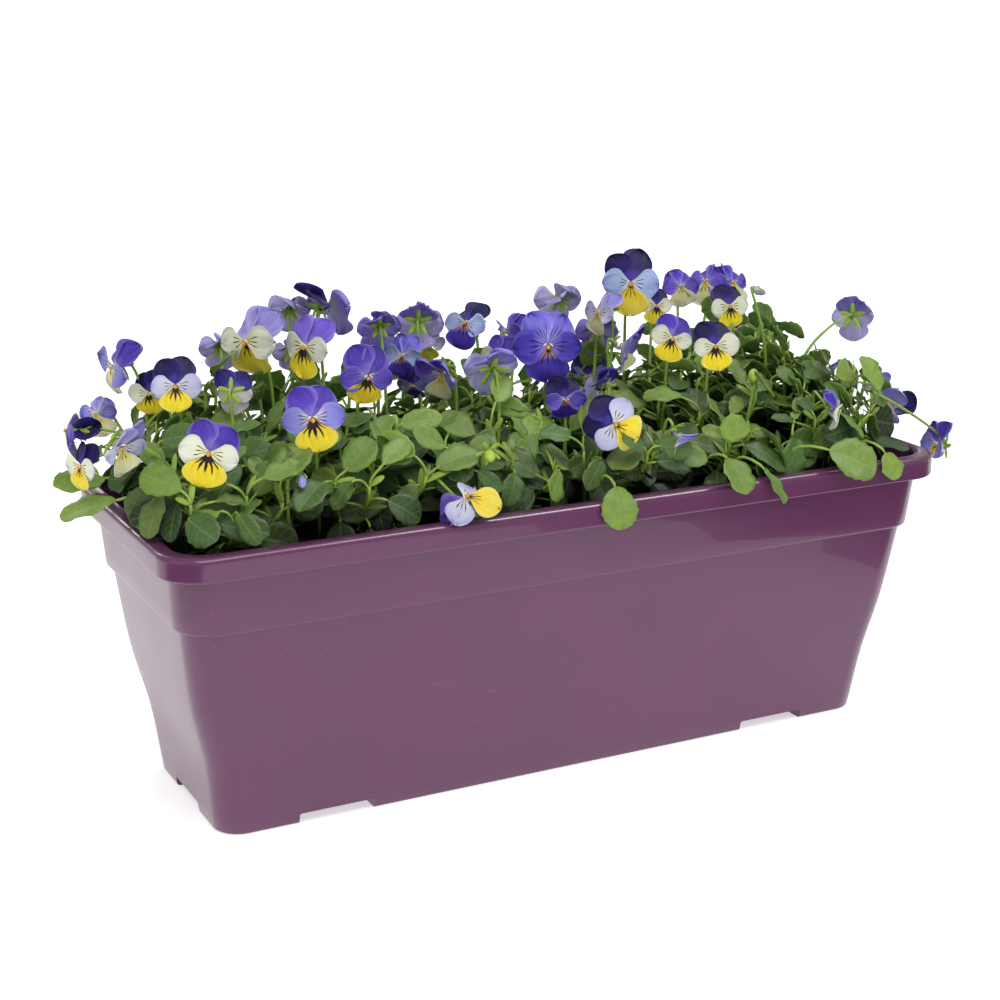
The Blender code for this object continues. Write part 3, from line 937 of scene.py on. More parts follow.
@dataclass
class Trough:
    """The moulded trough with its band, lip and feet."""

    finishes: Finishes
    wall: float = 2.4 * MM
    floor_top: float = 8.8 * MM
    band_bottom: float = 127.0 * MM
    apron: float = 13.4 * MM
    lip_round: float = 3.0 * MM
    channel: float = 6.3 * MM
    cross_channel: tuple[float, float] = (125.5 * MM, 171.5 * MM)
    long_channel: float = 20.5 * MM
    drain: float = 8.0 * MM
    drains: tuple[tuple[float, float], ...] = (
        (-0.1485, -0.040), (-0.1485, 0.040), (0.1485, -0.040),
        (0.1485, 0.040), (-0.062, 0.0), (0.062, 0.0))
    channel_round: float = 1.5 * MM
    crisp_degrees: float = 38.0
    corner_steps: int = 14
    bulge: float = 0.9 * MM

    def profile(self) -> list[tuple[float, float, float, float]]:
        """Outlines up the outside, over the lip and down the inside.

        Returns:
            Half length, half width, corner radius and height of each.
        """
        low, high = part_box("window_box")
        half_l = (high.x - low.x) / 2
        half_w = (high.y - low.y) / 2
        top = high.z
        under = top - self.apron
        band = self.band_bottom
        body = [(0.2152, 0.0581, 0.0146, 0.0),
                (0.2162, 0.0591, 0.0152, 0.0002),
                (0.2169, 0.0598, 0.0156, 0.0008),
                (0.2173, 0.0602, 0.0158, 0.0016)]
        heights = (0.010, 0.020, 0.032, 0.044, 0.050, 0.056, 0.062, 0.068,
                   0.075, 0.083, 0.094, 0.106, 0.118, 0.1262)
        for z in heights:
            share = z / band
            length = float(np.interp(
                z, (0.0016, 0.030, 0.044, 0.055, 0.065, 0.078, 0.095, band),
                (0.2173, 0.2203, 0.2225, 0.2251, 0.2277, 0.2306, 0.2330,
                 0.2367)))
            width = 0.0602 + (0.0812 - 0.0602) * share
            body.append((length, width, 0.0158 + 0.0047 * share, z))
        step = [(0.2367, 0.0812, 0.0205, band - 0.0002),
                (0.2372, 0.0817, 0.0209, band),
                (0.2386, 0.0831, 0.0222, band),
                (0.2394, 0.0839, 0.0229, band + 0.0003),
                (0.2400, 0.0845, 0.0234, band + 0.0009),
                (0.2403, 0.0848, 0.0236, band + 0.0018)]
        for share in (0.25, 0.5, 0.75, 1.0):
            step.append((0.2403 + 0.0022 * share, 0.0848 + 0.0036 * share,
                         0.0236,
                         band + 0.0018 + (under - band - 0.0018) * share))
        inner = half_l - self.wall
        inner_w = half_w - self.wall
        lip = [(0.2428, 0.0888, 0.0236, top - self.wall),
               (inner, inner_w, 0.0226, top - 2 * self.wall),
               (inner, inner_w, 0.0226, under),
               (half_l - 0.0009, half_w - 0.0009, 0.0243, under),
               (half_l - 0.0003, half_w - 0.0003, 0.0248, under + 0.0003),
               (half_l, half_w, 0.0250, under + 0.0009),
               (half_l, half_w, 0.0250, under + 0.0016),
               (half_l, half_w, 0.0250, under + 0.0028),
               (half_l, half_w, 0.0250, top - self.lip_round - 0.003),
               (half_l, half_w, 0.0250, top - self.lip_round)]
        for degrees in (15, 30, 45, 60, 75, 90):
            a = math.radians(degrees)
            into = self.lip_round * (1 - math.cos(a))
            lip.append((half_l - into, half_w - into, 0.0250 - into * 0.7,
                        top - self.lip_round * (1 - math.sin(a))))
        lip += [(half_l - 0.0084, half_w - 0.0084, 0.0193, top),
                (half_l - 0.0092, half_w - 0.0092, 0.0190, top - 0.0003),
                (half_l - 0.0097, half_w - 0.0097, 0.0188, top - 0.0009),
                (half_l - 0.0099, half_w - 0.0099, 0.0186, top - 0.0020)]
        inside = [(0.2390, 0.0842, 0.0196, 0.150),
                  (0.2379, 0.0824, 0.0206, band + 0.0034),
                  (0.2343, 0.0788, 0.0181, band + 0.0024),
                  (0.2281, 0.0702, 0.0166, 0.0750),
                  (0.2238, 0.0676, 0.0156, 0.0590),
                  (0.2198, 0.0651, 0.0151, 0.0440),
                  (0.2155, 0.0590, 0.0140, self.floor_top)]
        return body + step + lip + inside

    def outline(self, length: float, width: float, radius: float,
                z: float) -> np.ndarray:
        """Rounded rectangle whose long sides swell a little mid-height.

        Args:
            length: half its length.
            width: half its width.
            radius: its corner radius.
            z: its height.

        Returns:
            Its points, counter-clockwise, one per row.
        """
        swell = self.bulge * math.sin(math.pi * min(1.0, z / 0.15)) ** 2
        points = []
        corners = ((1, 1, 0), (-1, 1, 90), (-1, -1, 180), (1, -1, 270))
        for sign_x, sign_y, start in corners:
            cx = sign_x * (length - radius)
            cy = sign_y * (width - radius)
            for i in range(self.corner_steps + 1):
                a = math.radians(start + 90 * i / self.corner_steps)
                points.append((cx + radius * math.cos(a),
                               cy + radius * math.sin(a), z))
            steps = 26 if start in (0, 180) else 8
            last = points[-1]
            after = {0: (-(length - radius), width),
                     90: (-length, -(width - radius)),
                     180: (length - radius, -width),
                     270: (length, width - radius)}[start]
            for i in range(1, steps):
                t = i / steps
                x = last[0] + (after[0] - last[0]) * t
                y = last[1] + (after[1] - last[1]) * t
                if start in (0, 180):
                    y += math.copysign(swell * math.sin(math.pi * t) ** 2, y)
                points.append((x, y, z))
        return np.array(points)

    def channel_cutter(self, box: Sequence[float]) -> bpy.types.Object:
        """Bar with a rounded top that clears one channel.

        Args:
            box: low x, high x, low y, high y.

        Returns:
            The cutter object.
        """
        x0, x1, y0, y1 = box
        round_top = self.channel_round
        along_x = x1 - x0 > y1 - y0
        low, high = (y0, y1) if along_x else (x0, x1)
        reach = (x0, x1) if along_x else (y0, y1)
        section = [(low, -0.01), (high, -0.01)]
        for i in range(7):
            a = math.radians(90 * i / 6)
            section.append((high - round_top * (1 - math.cos(a)),
                            self.channel - round_top * (1 - math.sin(a))))
        for i in range(7):
            a = math.radians(90 + 90 * i / 6)
            section.append((low + round_top * (1 + math.cos(a)),
                            self.channel - round_top * (1 - math.sin(a))))
        points = []
        for end in reach:
            for side, z in section:
                points.append((end, side, z) if along_x else (side, end, z))
        faces = ring_faces(2, len(section))
        if not along_x:
            faces = [face[::-1] for face in faces]
        return mesh_object("channel_cutter", points, faces)

    def drain_cutter(self, centre: tuple[float, float]) -> bpy.types.Object:
        """Round bar that cuts one drain hole.

        Args:
            centre: the hole's middle on the floor of the trough.

        Returns:
            The cutter object.
        """
        sides = 24
        points = []
        for z in (-0.005, 0.020):
            for i in range(sides):
                a = 2 * math.pi * i / sides
                points.append((centre[0] + self.drain / 2 * math.cos(a),
                               centre[1] + self.drain / 2 * math.sin(a), z))
        return mesh_object("drain_cutter", points, ring_faces(2, sides))

    @staticmethod
    def cut(obj: bpy.types.Object,
            cutters: Sequence[bpy.types.Object]) -> None:
        """Cut cutters out of a piece and remove them.

        Args:
            obj: the piece.
            cutters: closed solids to take away.
        """
        for cutter in cutters:
            modifier = obj.modifiers.new("cut", "BOOLEAN")
            modifier.operation = "DIFFERENCE"
            modifier.solver = "EXACT"
            modifier.object = cutter
        graph = bpy.context.evaluated_depsgraph_get()
        cut_mesh = bpy.data.meshes.new_from_object(obj.evaluated_get(graph))
        obj.modifiers.clear()
        obj.data = cut_mesh
        for cutter in cutters:
            bpy.data.objects.remove(cutter, do_unlink=True)

    def build(self) -> None:
        """Loft the trough, clear its channels and drains, and dress it."""
        rings = [self.outline(*level) for level in self.profile()]
        obj = mesh_object("trough", np.concatenate(rings).tolist(),
                          ring_faces(len(rings), len(rings[0])),
                          self.finishes.plastic)
        near, far = self.cross_channel
        side = self.long_channel
        beyond = 0.3
        cutters = [self.channel_cutter((-far, -near, -beyond, beyond)),
                   self.channel_cutter((near, far, -beyond, beyond)),
                   self.channel_cutter((-beyond, beyond, -side, side))]
        cutters += [self.drain_cutter(centre) for centre in self.drains]
        self.cut(obj, cutters)
        mesh = obj.data
        mesh.polygons.foreach_set("use_smooth", [True] * len(mesh.polygons))
        mesh.set_sharp_from_angle(angle=math.radians(self.crisp_degrees))
        place(obj, "plum_plastic", "window_box")


# --------------------------------------------------------------------------
# Soil
# --------------------------------------------------------------------------

@dataclass
class SoilBed:
    """Peat mix that fills the trough, with loose crumbs on top."""

    finishes: Finishes
    crumbs: int = 420
    corner: float = 18.0 * MM
    gap: float = 1.0 * MM
    thickness: float = 6.0 * MM
    seed: int = 7

    def build(self) -> None:
        """Build the bed and its crumbs."""
        low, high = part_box("potting_soil")
        rng = np.random.default_rng(self.seed)
        nx, ny = 120, 42
        half_l = high.x - self.gap
        half_w = high.y - self.gap
        gx, across = np.meshgrid(np.linspace(-half_l, half_l, nx),
                                 np.linspace(-1, 1, ny))
        past = np.maximum(0.0, np.abs(gx) - (half_l - self.corner))
        gy = across * (half_w - self.corner
                       + np.sqrt(self.corner ** 2 - past ** 2))
        waves = (np.sin(gx * 61 + 1.3) * np.cos(gy * 83 - 0.4)
                 + 0.6 * np.sin(gx * 163 + gy * 97))
        top = high.z - 0.003 + 0.0010 * waves
        top = top + rng.uniform(-0.0009, 0.0009, top.shape)
        grid = np.stack([gx, gy, top], axis=2)
        uv = np.stack([gx, gy], axis=2)
        builder = SurfaceBuilder()
        builder.sheet(grid, uv, self.thickness, 0, 0, (1, 0, 0))
        draw = random.Random(self.seed)
        for _ in range(self.crumbs):
            x = draw.uniform(low.x + 0.004, high.x - 0.004)
            y = draw.uniform(low.y + 0.004, high.y - 0.004)
            size = draw.uniform(0.0012, 0.0032)
            axis = direction(draw.uniform(0, 360), draw.uniform(-20, 60))
            builder.blob(Vector((x, y, high.z + 0.0005)), axis, size * 1.4,
                         size * 0.6, 0, (1, 0, 0), 6)
        obj = builder.build("soil_bed", [self.finishes.soil])
        place(obj, "potting_soil", "potting_soil")


# --------------------------------------------------------------------------
# Leaves
# --------------------------------------------------------------------------

@dataclass(frozen=True)
class BladeShape:
    """Sizes and bends of one leaf blade."""

    length: float
    width: float
    fullness: float = 1.1
    fold: float = 0.18
    droop: float = 0.22
    wave: float = 0.6 * MM
    phase: float = 0.0
    rows: int = 13
    cols: int = 7
    teeth: float = 0.045

    def grid(self) -> tuple[np.ndarray, np.ndarray]:
        """Points and texture coordinates of the blade in its own frame.

        Returns:
            A grid with x across, y from base to tip and z up, and the
            matching texture coordinates.
        """
        t = (1 - np.cos(np.linspace(0, math.pi, self.rows))) / 2
        profile = np.sqrt(np.clip(1 - (2 * t ** self.fullness - 1) ** 2, 0, 1))
        profile = np.maximum(profile, 0.05)
        notch = np.where(np.arange(self.rows) % 2 == 1, 1 + self.teeth,
                         1 - self.teeth)
        notch[0] = notch[-1] = 1.0
        s = np.linspace(-1, 1, self.cols)
        half = self.width / 2 * profile
        reach = np.where(np.abs(s) > 0.99, 1.0, 0.0)
        across = s[None, :] * half[:, None]
        across = across * (1 + (notch[:, None] - 1) * reach[None, :])
        along = t[:, None] * self.length * np.ones_like(across)
        along = along + 0.05 * self.length * (s[None, :] ** 2) * (
            0.5 - np.abs(t[:, None] - 0.5))
        rise = (self.fold * np.abs(across) - self.droop * along ** 2
                / self.length)
        rise = rise + self.wave * np.sin(
            4 * math.pi * t[:, None] + self.phase
            + s[None, :]) * s[None, :] ** 2
        grid = np.stack([across, along, rise], axis=2)
        uv = np.stack([np.broadcast_to((s[None, :] + 1) / 2, across.shape),
                       np.broadcast_to(t[:, None], across.shape)], axis=2)
        return grid, uv


def set_in_place(grid: np.ndarray, base: Vector, along: Vector,
                 normal: Vector) -> np.ndarray:
    """Move a local sheet so that y follows along and z follows normal.

    Args:
        grid: the sheet's points in its own frame.
        base: where its origin goes.
        along: direction that its y follows.
        normal: direction that its z leans to.

    Returns:
        The moved points.
    """
    side = along.cross(normal).normalized()
    rise = side.cross(along).normalized()
    axes = np.array([side, along.normalized(), rise])
    return grid @ axes + np.array(base)


class LeafMaker:
    """Adds leaves with petioles to a builder, clear of the trough's lip."""

    LEAF, UNDER, STEM = range(3)
    LIP_REACH = 11.5 * MM
    CLEARANCE = 1.5 * MM
    MOST_LIFT = 30.0 * MM

    def __init__(self, builder: SurfaceBuilder, draw: random.Random) -> None:
        """Keep what the leaves are made with.

        Args:
            builder: gets the leaves' faces.
            draw: the source of variation.
        """
        self.builder = builder
        self.draw = draw
        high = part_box("window_box")[1]
        self.half_l = high.x
        self.half_w = high.y
        self.rim = high.z

    def clear_of_lip(self, points: np.ndarray) -> Optional[float]:
        """How far up a leaf must move to pass over the lip.

        Args:
            points: the leaf's points, one per row.

        Returns:
            The lift, or None where the leaf can't be saved.
        """
        x = np.abs(points[:, 0])
        y = np.abs(points[:, 1])
        beyond = ((x > self.half_l - self.LIP_REACH)
                  | (y > self.half_w - self.LIP_REACH))
        over = beyond & (x < self.half_l + 0.001) & (y < self.half_w + 0.001)
        if not over.any():
            return 0.0
        lift = self.rim + self.CLEARANCE - points[over, 2].min()
        if lift <= 0:
            return 0.0
        return float(lift) if lift < self.MOST_LIFT else None

    def leaf(self, root: Vector, base: Vector, along: Vector, normal: Vector,
             shape: BladeShape, tone: Sequence[float],
             petiole_radius: float = 0.75 * MM) -> bool:
        """Add one leaf.

        Args:
            root: where the petiole leaves the stem.
            base: where the blade starts.
            along: direction from the blade's base to its tip.
            normal: direction that the upper face looks.
            shape: the blade's sizes.
            tone: the leaf's tone colour, with its painted shade in red.
            petiole_radius: the petiole's radius.

        Returns:
            Whether the leaf was added.
        """
        grid, uv = shape.grid()
        placed = set_in_place(grid, base, along, normal)
        lift = self.clear_of_lip(placed.reshape(-1, 3))
        if lift is None:
            return False
        raised = base + Vector((0, 0, lift))
        placed = placed + np.array((0, 0, lift))
        self.builder.sheet(placed, uv, 0.35 * MM, self.LEAF, self.UNDER, tone)
        span = (raised - root).length
        path = bezier((root, root + Vector((0, 0, 0.35 * span)),
                       raised - along * 0.35 * span,
                       raised + along * 0.10 * shape.length), 5)
        self.builder.tube(path, [petiole_radius] * 5 + [0.4 * MM], 5,
                          self.STEM, tone)
        return True


@dataclass
class Foliage:
    """The leaf mass of all six plants, grown as shoots of stalked leaves."""

    finishes: Finishes
    seed: int = 11
    columns: int = 3
    rows: int = 6
    leaves_per_shoot: int = 8
    half_length: float = 0.230
    half_width: float = 0.078
    crown_height: float = 0.150

    def canopy_top(self, x: float, y: float) -> float:
        """Height that the shoots reach at one place.

        Args:
            x: place along the box.
            y: place across the box.

        Returns:
            The height above the floor.
        """
        top = 0.212 + 0.10 * y
        back = min(1.0, max(0.0, (y + 0.015) / 0.055))
        top += 0.020 * back * math.exp(-((x + 0.150) / 0.050) ** 2)
        top += (0.008 + 0.012 * back) * math.exp(-((x - 0.185) / 0.055) ** 2)
        top -= 0.006 * math.exp(-((x + 0.225) / 0.040) ** 2)
        top -= 0.004 * math.exp(-((x - 0.05) / 0.04) ** 2)
        edge = max(0.0, abs(y) / 0.085 - 0.55)
        return top - 0.042 * edge

    def facing(self, x: float, y: float) -> Vector:
        """Way that the leaves at one place look, away from the crowd.

        Args:
            x: place along the box.
            y: place across the box.

        Returns:
            The unit vector.
        """
        out = Vector(((x / 0.235) ** 3, y / 0.085, 0.0))
        strength = min(1.0, out.length)
        if out.length > 0:
            out.normalize()
        return (out * (0.35 + 0.75 * strength) + UP * 0.75).normalized()

    def grow_shoot(self, maker: LeafMaker, crown: Vector, tip: Vector) -> None:
        """Grow one shoot.

        Args:
            maker: adds the leaves.
            crown: where the shoot leaves the soil.
            tip: where the shoot ends.
        """
        draw = maker.draw
        rise = tip.z - crown.z
        path = bezier((crown, crown + Vector((0, 0, 0.45 * rise)),
                       tip - Vector((0, 0, 0.35 * rise)), tip), 8)
        maker.builder.tube(path, np.linspace(1.5 * MM, 0.9 * MM, 9), 6,
                           maker.STEM, (0.8, 0.4, 0))
        turn = draw.uniform(0, 360)
        for i in range(self.leaves_per_shoot):
            share = (0.22 + 0.78 * (i + draw.uniform(-0.3, 0.3))
                     / (self.leaves_per_shoot - 1))
            share = min(1.0, max(0.05, share))
            exact = share * (len(path) - 1)
            first = min(int(exact), len(path) - 2)
            spot = Vector(path[first]).lerp(Vector(path[first + 1]),
                                            exact - first)
            turn += 137.5 + draw.uniform(-25, 25)
            stalk = direction(turn, draw.uniform(0, 30) + 35 * share ** 2)
            wobble = Vector((draw.uniform(-1, 1), draw.uniform(-1, 1),
                             draw.uniform(-0.8, 0.5))) * 0.62
            normal = (self.facing(spot.x, spot.y) + wobble).normalized()
            length = (29 - 8 * share + draw.uniform(-6, 4)) * MM
            if draw.random() < 0.12:
                length *= 0.6
            width = length * draw.uniform(0.62, 0.92) * (1 - 0.12 * share)
            reach = (19 - 9 * share + draw.uniform(-5, 6)) * MM
            base = spot + stalk * reach
            along = stalk + DOWN * draw.uniform(0.0, 0.9)
            along = along - normal * along.dot(normal)
            if along.length < 0.2:
                along = normal.orthogonal()
            along.normalize()
            youth = min(1.0, max(0.0, 0.42 * share ** 2
                                 + draw.uniform(-0.38, 0.34)))
            # Painted shade: leaves lower on the shoot get a darker tone,
            # spread at random.
            bright = min(1.0, max(0.0, 1.20 * share - 0.18
                                  + draw.uniform(-0.32, 0.22)))
            shape = BladeShape(length, width, draw.uniform(1.0, 1.4),
                               draw.uniform(0.00, 0.30),
                               draw.uniform(-0.05, 0.42),
                               draw.uniform(0.3, 1.3) * MM,
                               draw.uniform(0, 6))
            if maker.leaf(spot, base, along, normal, shape,
                          (bright, youth, 0)):
                self.stipules(maker, spot, stalk, normal, bright, youth)

    def stipules(self, maker: LeafMaker, spot: Vector, stalk: Vector,
                 normal: Vector, bright: float, youth: float) -> None:
        """Add the small narrow leaflets at a leaf's root.

        Args:
            maker: adds the leaflets.
            spot: the leaf's root.
            stalk: direction of the petiole.
            normal: way that the leaf looks.
            bright: painted shade level of the tone, lower for leaves deeper in
                the plant.
            youth: youth of the tone.
        """
        draw = maker.draw
        for side in (-1, 1):
            if draw.random() < 0.45:
                continue
            way = (stalk + normal.cross(stalk) * side * 0.7
                   + UP * draw.uniform(0.0, 0.5)).normalized()
            face = (normal - way * normal.dot(way)).normalized()
            shape = BladeShape(draw.uniform(9, 16) * MM,
                               draw.uniform(2.5, 4.5) * MM, 1.1, 0.1,
                               draw.uniform(0.1, 0.4), 0.1 * MM, 0.0, 6, 3,
                               0.0)
            grid, uv = shape.grid()
            placed = set_in_place(grid, spot, way, face)
            if maker.clear_of_lip(placed.reshape(-1, 3)) == 0.0:
                # The leaflets take the leaf's painted shade, a little lighter.
                maker.builder.sheet(placed, uv, 0.35 * MM, maker.LEAF,
                                    maker.UNDER,
                                    (min(1.0, bright + 0.15),
                                     min(1.0, youth + 0.60), 0))

    def build(self) -> None:
        """Grow every plant."""
        deep = self.half_width
        names = nodes_named("plant_")
        for number, name in enumerate(names):
            low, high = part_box(name)
            draw = random.Random(self.seed + number)
            builder = SurfaceBuilder()
            maker = LeafMaker(builder, draw)
            centre = (low.x + high.x) / 2
            columns = self.columns + (number in (0, len(names) - 1))
            for i in range(columns):
                for j in range(self.rows):
                    x = low.x + (high.x - low.x) * (i + 0.5) / columns
                    y = -deep + 2 * deep * (j + 0.5) / self.rows
                    x += draw.uniform(-8, 8) * MM
                    y += draw.uniform(-7, 7) * MM
                    x = max(-self.half_length, min(self.half_length, x))
                    y = max(-deep, min(deep, y))
                    top = self.canopy_top(x, y) + draw.uniform(-12, 5) * MM
                    crown = Vector((centre + (x - centre) * 0.45, y * 0.55,
                                    self.crown_height))
                    self.grow_shoot(maker, crown, Vector((x, y, top)))
            obj = builder.build("viola_plant_%d" % (number + 1),
                                self.finishes.blades)
            place(obj, "foliage", name)


@dataclass
class RimLeaves:
    """The single leaves that hang over the lip, where the CAD has them."""

    finishes: Finishes
    short: dict[str, float] = field(default_factory=lambda: {
        "leaf_front_1": 0.80, "leaf_front_4": 0.88, "leaf_front_5": 0.68})

    @staticmethod
    def axes(name: str) -> tuple[Vector, Vector, Vector, float, float]:
        """Read a CAD leaf's lie from its mesh.

        Args:
            name: the CAD node.

        Returns:
            Blade middle, direction to the tip, upper normal, blade length
            and blade width.
        """
        co = node_points(name)
        middle = co.mean(axis=0)
        _, _, axes = np.linalg.svd(co - middle, full_matrices=False)
        along, side, normal = (Vector(axis) for axis in axes)
        if along.x * middle[0] / 8 + along.y * middle[1] < 0:
            along = -along
        if normal.z < 0:
            normal = -normal
        run = (co - middle) @ np.array(along)
        spread = np.abs((co - middle) @ np.array(side))
        blade = run[spread > spread.max() * 0.25]
        length = float(blade.max() - blade.min()) * 1.06
        centre = Vector(middle) + along * float(blade.max() + blade.min()) / 2
        return centre, along, normal, length, 2 * float(spread.max())

    def build(self) -> None:
        """Build every rim leaf."""
        for number, name in enumerate(nodes_named("leaf_")):
            centre, along, normal, length, width = self.axes(name)
            share = self.short.get(name, 1.0)
            length *= share
            width *= min(1.0, share + 0.12)
            if name.startswith("leaf_left"):
                normal = normal + direction(-20, 30) * 0.9
                normal = (normal - along * normal.dot(along)).normalized()
            base = centre - along * length / 2
            draw = random.Random(90 + number)
            builder = SurfaceBuilder()
            maker = LeafMaker(builder, draw)
            pointed = 1.25 if width < length * 0.5 else 1.15
            shape = BladeShape(length, width, pointed, 0.14, 0.14,
                               0.9 * MM, draw.uniform(0, 6), 17, 9, 0.04)
            inner = Vector((base.x * 0.96 - along.x * 0.012,
                            base.y * 0.82, max(base.z - 0.012, 0.182)))
            maker.leaf(inner, base, along, normal, shape,
                       (0.95, draw.uniform(0.25, 0.75), 0), 0.9 * MM)
            obj = builder.build("rim_" + name, self.finishes.blades)
            place(obj, "foliage", name)


# --------------------------------------------------------------------------
# Flowers
# --------------------------------------------------------------------------

@dataclass(frozen=True)
class Head:
    """Where a flower head sits and how it is turned."""

    centre: Vector
    facing: Vector
    lip: Vector
    radius: float
    foot: Vector

    @staticmethod
    def of_node(name: str) -> "Head":
        """Read a CAD flower's head and stalk from its mesh.

        Args:
            name: the CAD node, a flat lobed head on a thin stalk.

        Returns:
            The head, with the longest lobe as its lip.
        """
        mesh = frame["nodes"][name].data
        co = node_points(name)
        normals = np.array([f.normal for f in mesh.polygons])
        areas = np.array([f.area for f in mesh.polygons])
        middles = np.array([f.center for f in mesh.polygons])
        aligned = np.abs(normals @ normals.T) > 0.9995
        best = int((aligned @ areas).argmax())
        axis = normals[best]
        flat = aligned[best]
        height = np.average(middles[flat] @ axis, weights=areas[flat])
        off = co @ axis - height
        disc = np.abs(off) < 0.9 * MM
        middle = np.median(co[disc], axis=0)
        near = ~disc & (np.linalg.norm(co - middle, axis=1) < 9 * MM)
        sign = -1.0 if near.any() and off[near].mean() > 0 else 1.0
        front = co[disc & (off * sign > 0)]
        spread = np.linalg.norm(front - np.median(front, axis=0), axis=1)
        front = front[spread < 1.5 * np.median(spread)]
        centre = front.mean(axis=0)
        reach = np.linalg.norm(front - centre, axis=1)
        lip = Vector(front[reach.argmax()] - centre).normalized()
        away = np.linalg.norm(co - centre, axis=1)
        low = away > away.max() - 1.2 * MM
        return Head(Vector(centre), Vector(axis * sign), lip,
                    float(reach.max()), Vector(co[low].mean(axis=0)))


@dataclass(frozen=True)
class PetalPlan:
    """One petal: where it points and its sizes as shares of the radius."""

    angle: float
    length: float
    width: float
    layer: float
    pitch: float
    part: int
    fullness: float = 1.6
    notch: float = 0.0
    curl: float = 0.0


PLAN = (
    PetalPlan(152, 1.00, 0.94, -1.3 * MM, -12, 0, 1.45, 0.02, -0.18),
    PetalPlan(-146, 0.96, 0.92, -0.8 * MM, -6, 0, 1.45, 0.02, -0.12),
    PetalPlan(84, 0.82, 0.78, -0.2 * MM, 8, 1, 1.35, 0.0, -0.10),
    PetalPlan(-84, 0.82, 0.78, -0.1 * MM, 8, 1, 1.35, 0.0, -0.10),
    PetalPlan(0, 0.94, 1.14, 0.6 * MM, 10, 2, 1.70, 0.10, -0.18),
)


@dataclass(frozen=True)
class Look:
    """Colours of one flower and how its petals are held.

    Fold is how many degrees the petals lean back, cup how hollow and crumple
    how wavy they are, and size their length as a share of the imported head.
    """

    upper: Upper
    side: Side
    lip: Lip
    fold: float = 4.0
    cup: float = 0.0
    crumple: float = 1.0
    size: float = 1.0


YELLOW_FACE = Look(Upper.VIOLET, Side.CREAM, Lip.BLOTCHED)
DARK_FACE = Look(Upper.DARK, Side.CREAM, Lip.BLOTCHED)
VIOLET_SIDE = Look(Upper.VIOLET, Side.VIOLET, Lip.CREAM, 22, 0.2, 1.8)
LILAC_BACK = Look(Upper.LILAC, Side.LILAC, Lip.CREAM, 26, 0.1, 1.7)
NODDING = Look(Upper.VIOLET, Side.LILAC, Lip.CREAM, -22, 0.4, 1.5)
PALE_FACE = Look(Upper.VIOLET, Side.PALE, Lip.YELLOW, 16, 0.2, 1.4)
BLUE_SIDE = Look(Upper.DARK, Side.LILAC, Lip.BLUE, 14, 0.2, 1.6)
CLOSED = Look(Upper.LILAC, Side.LILAC, Lip.CREAM, 0)

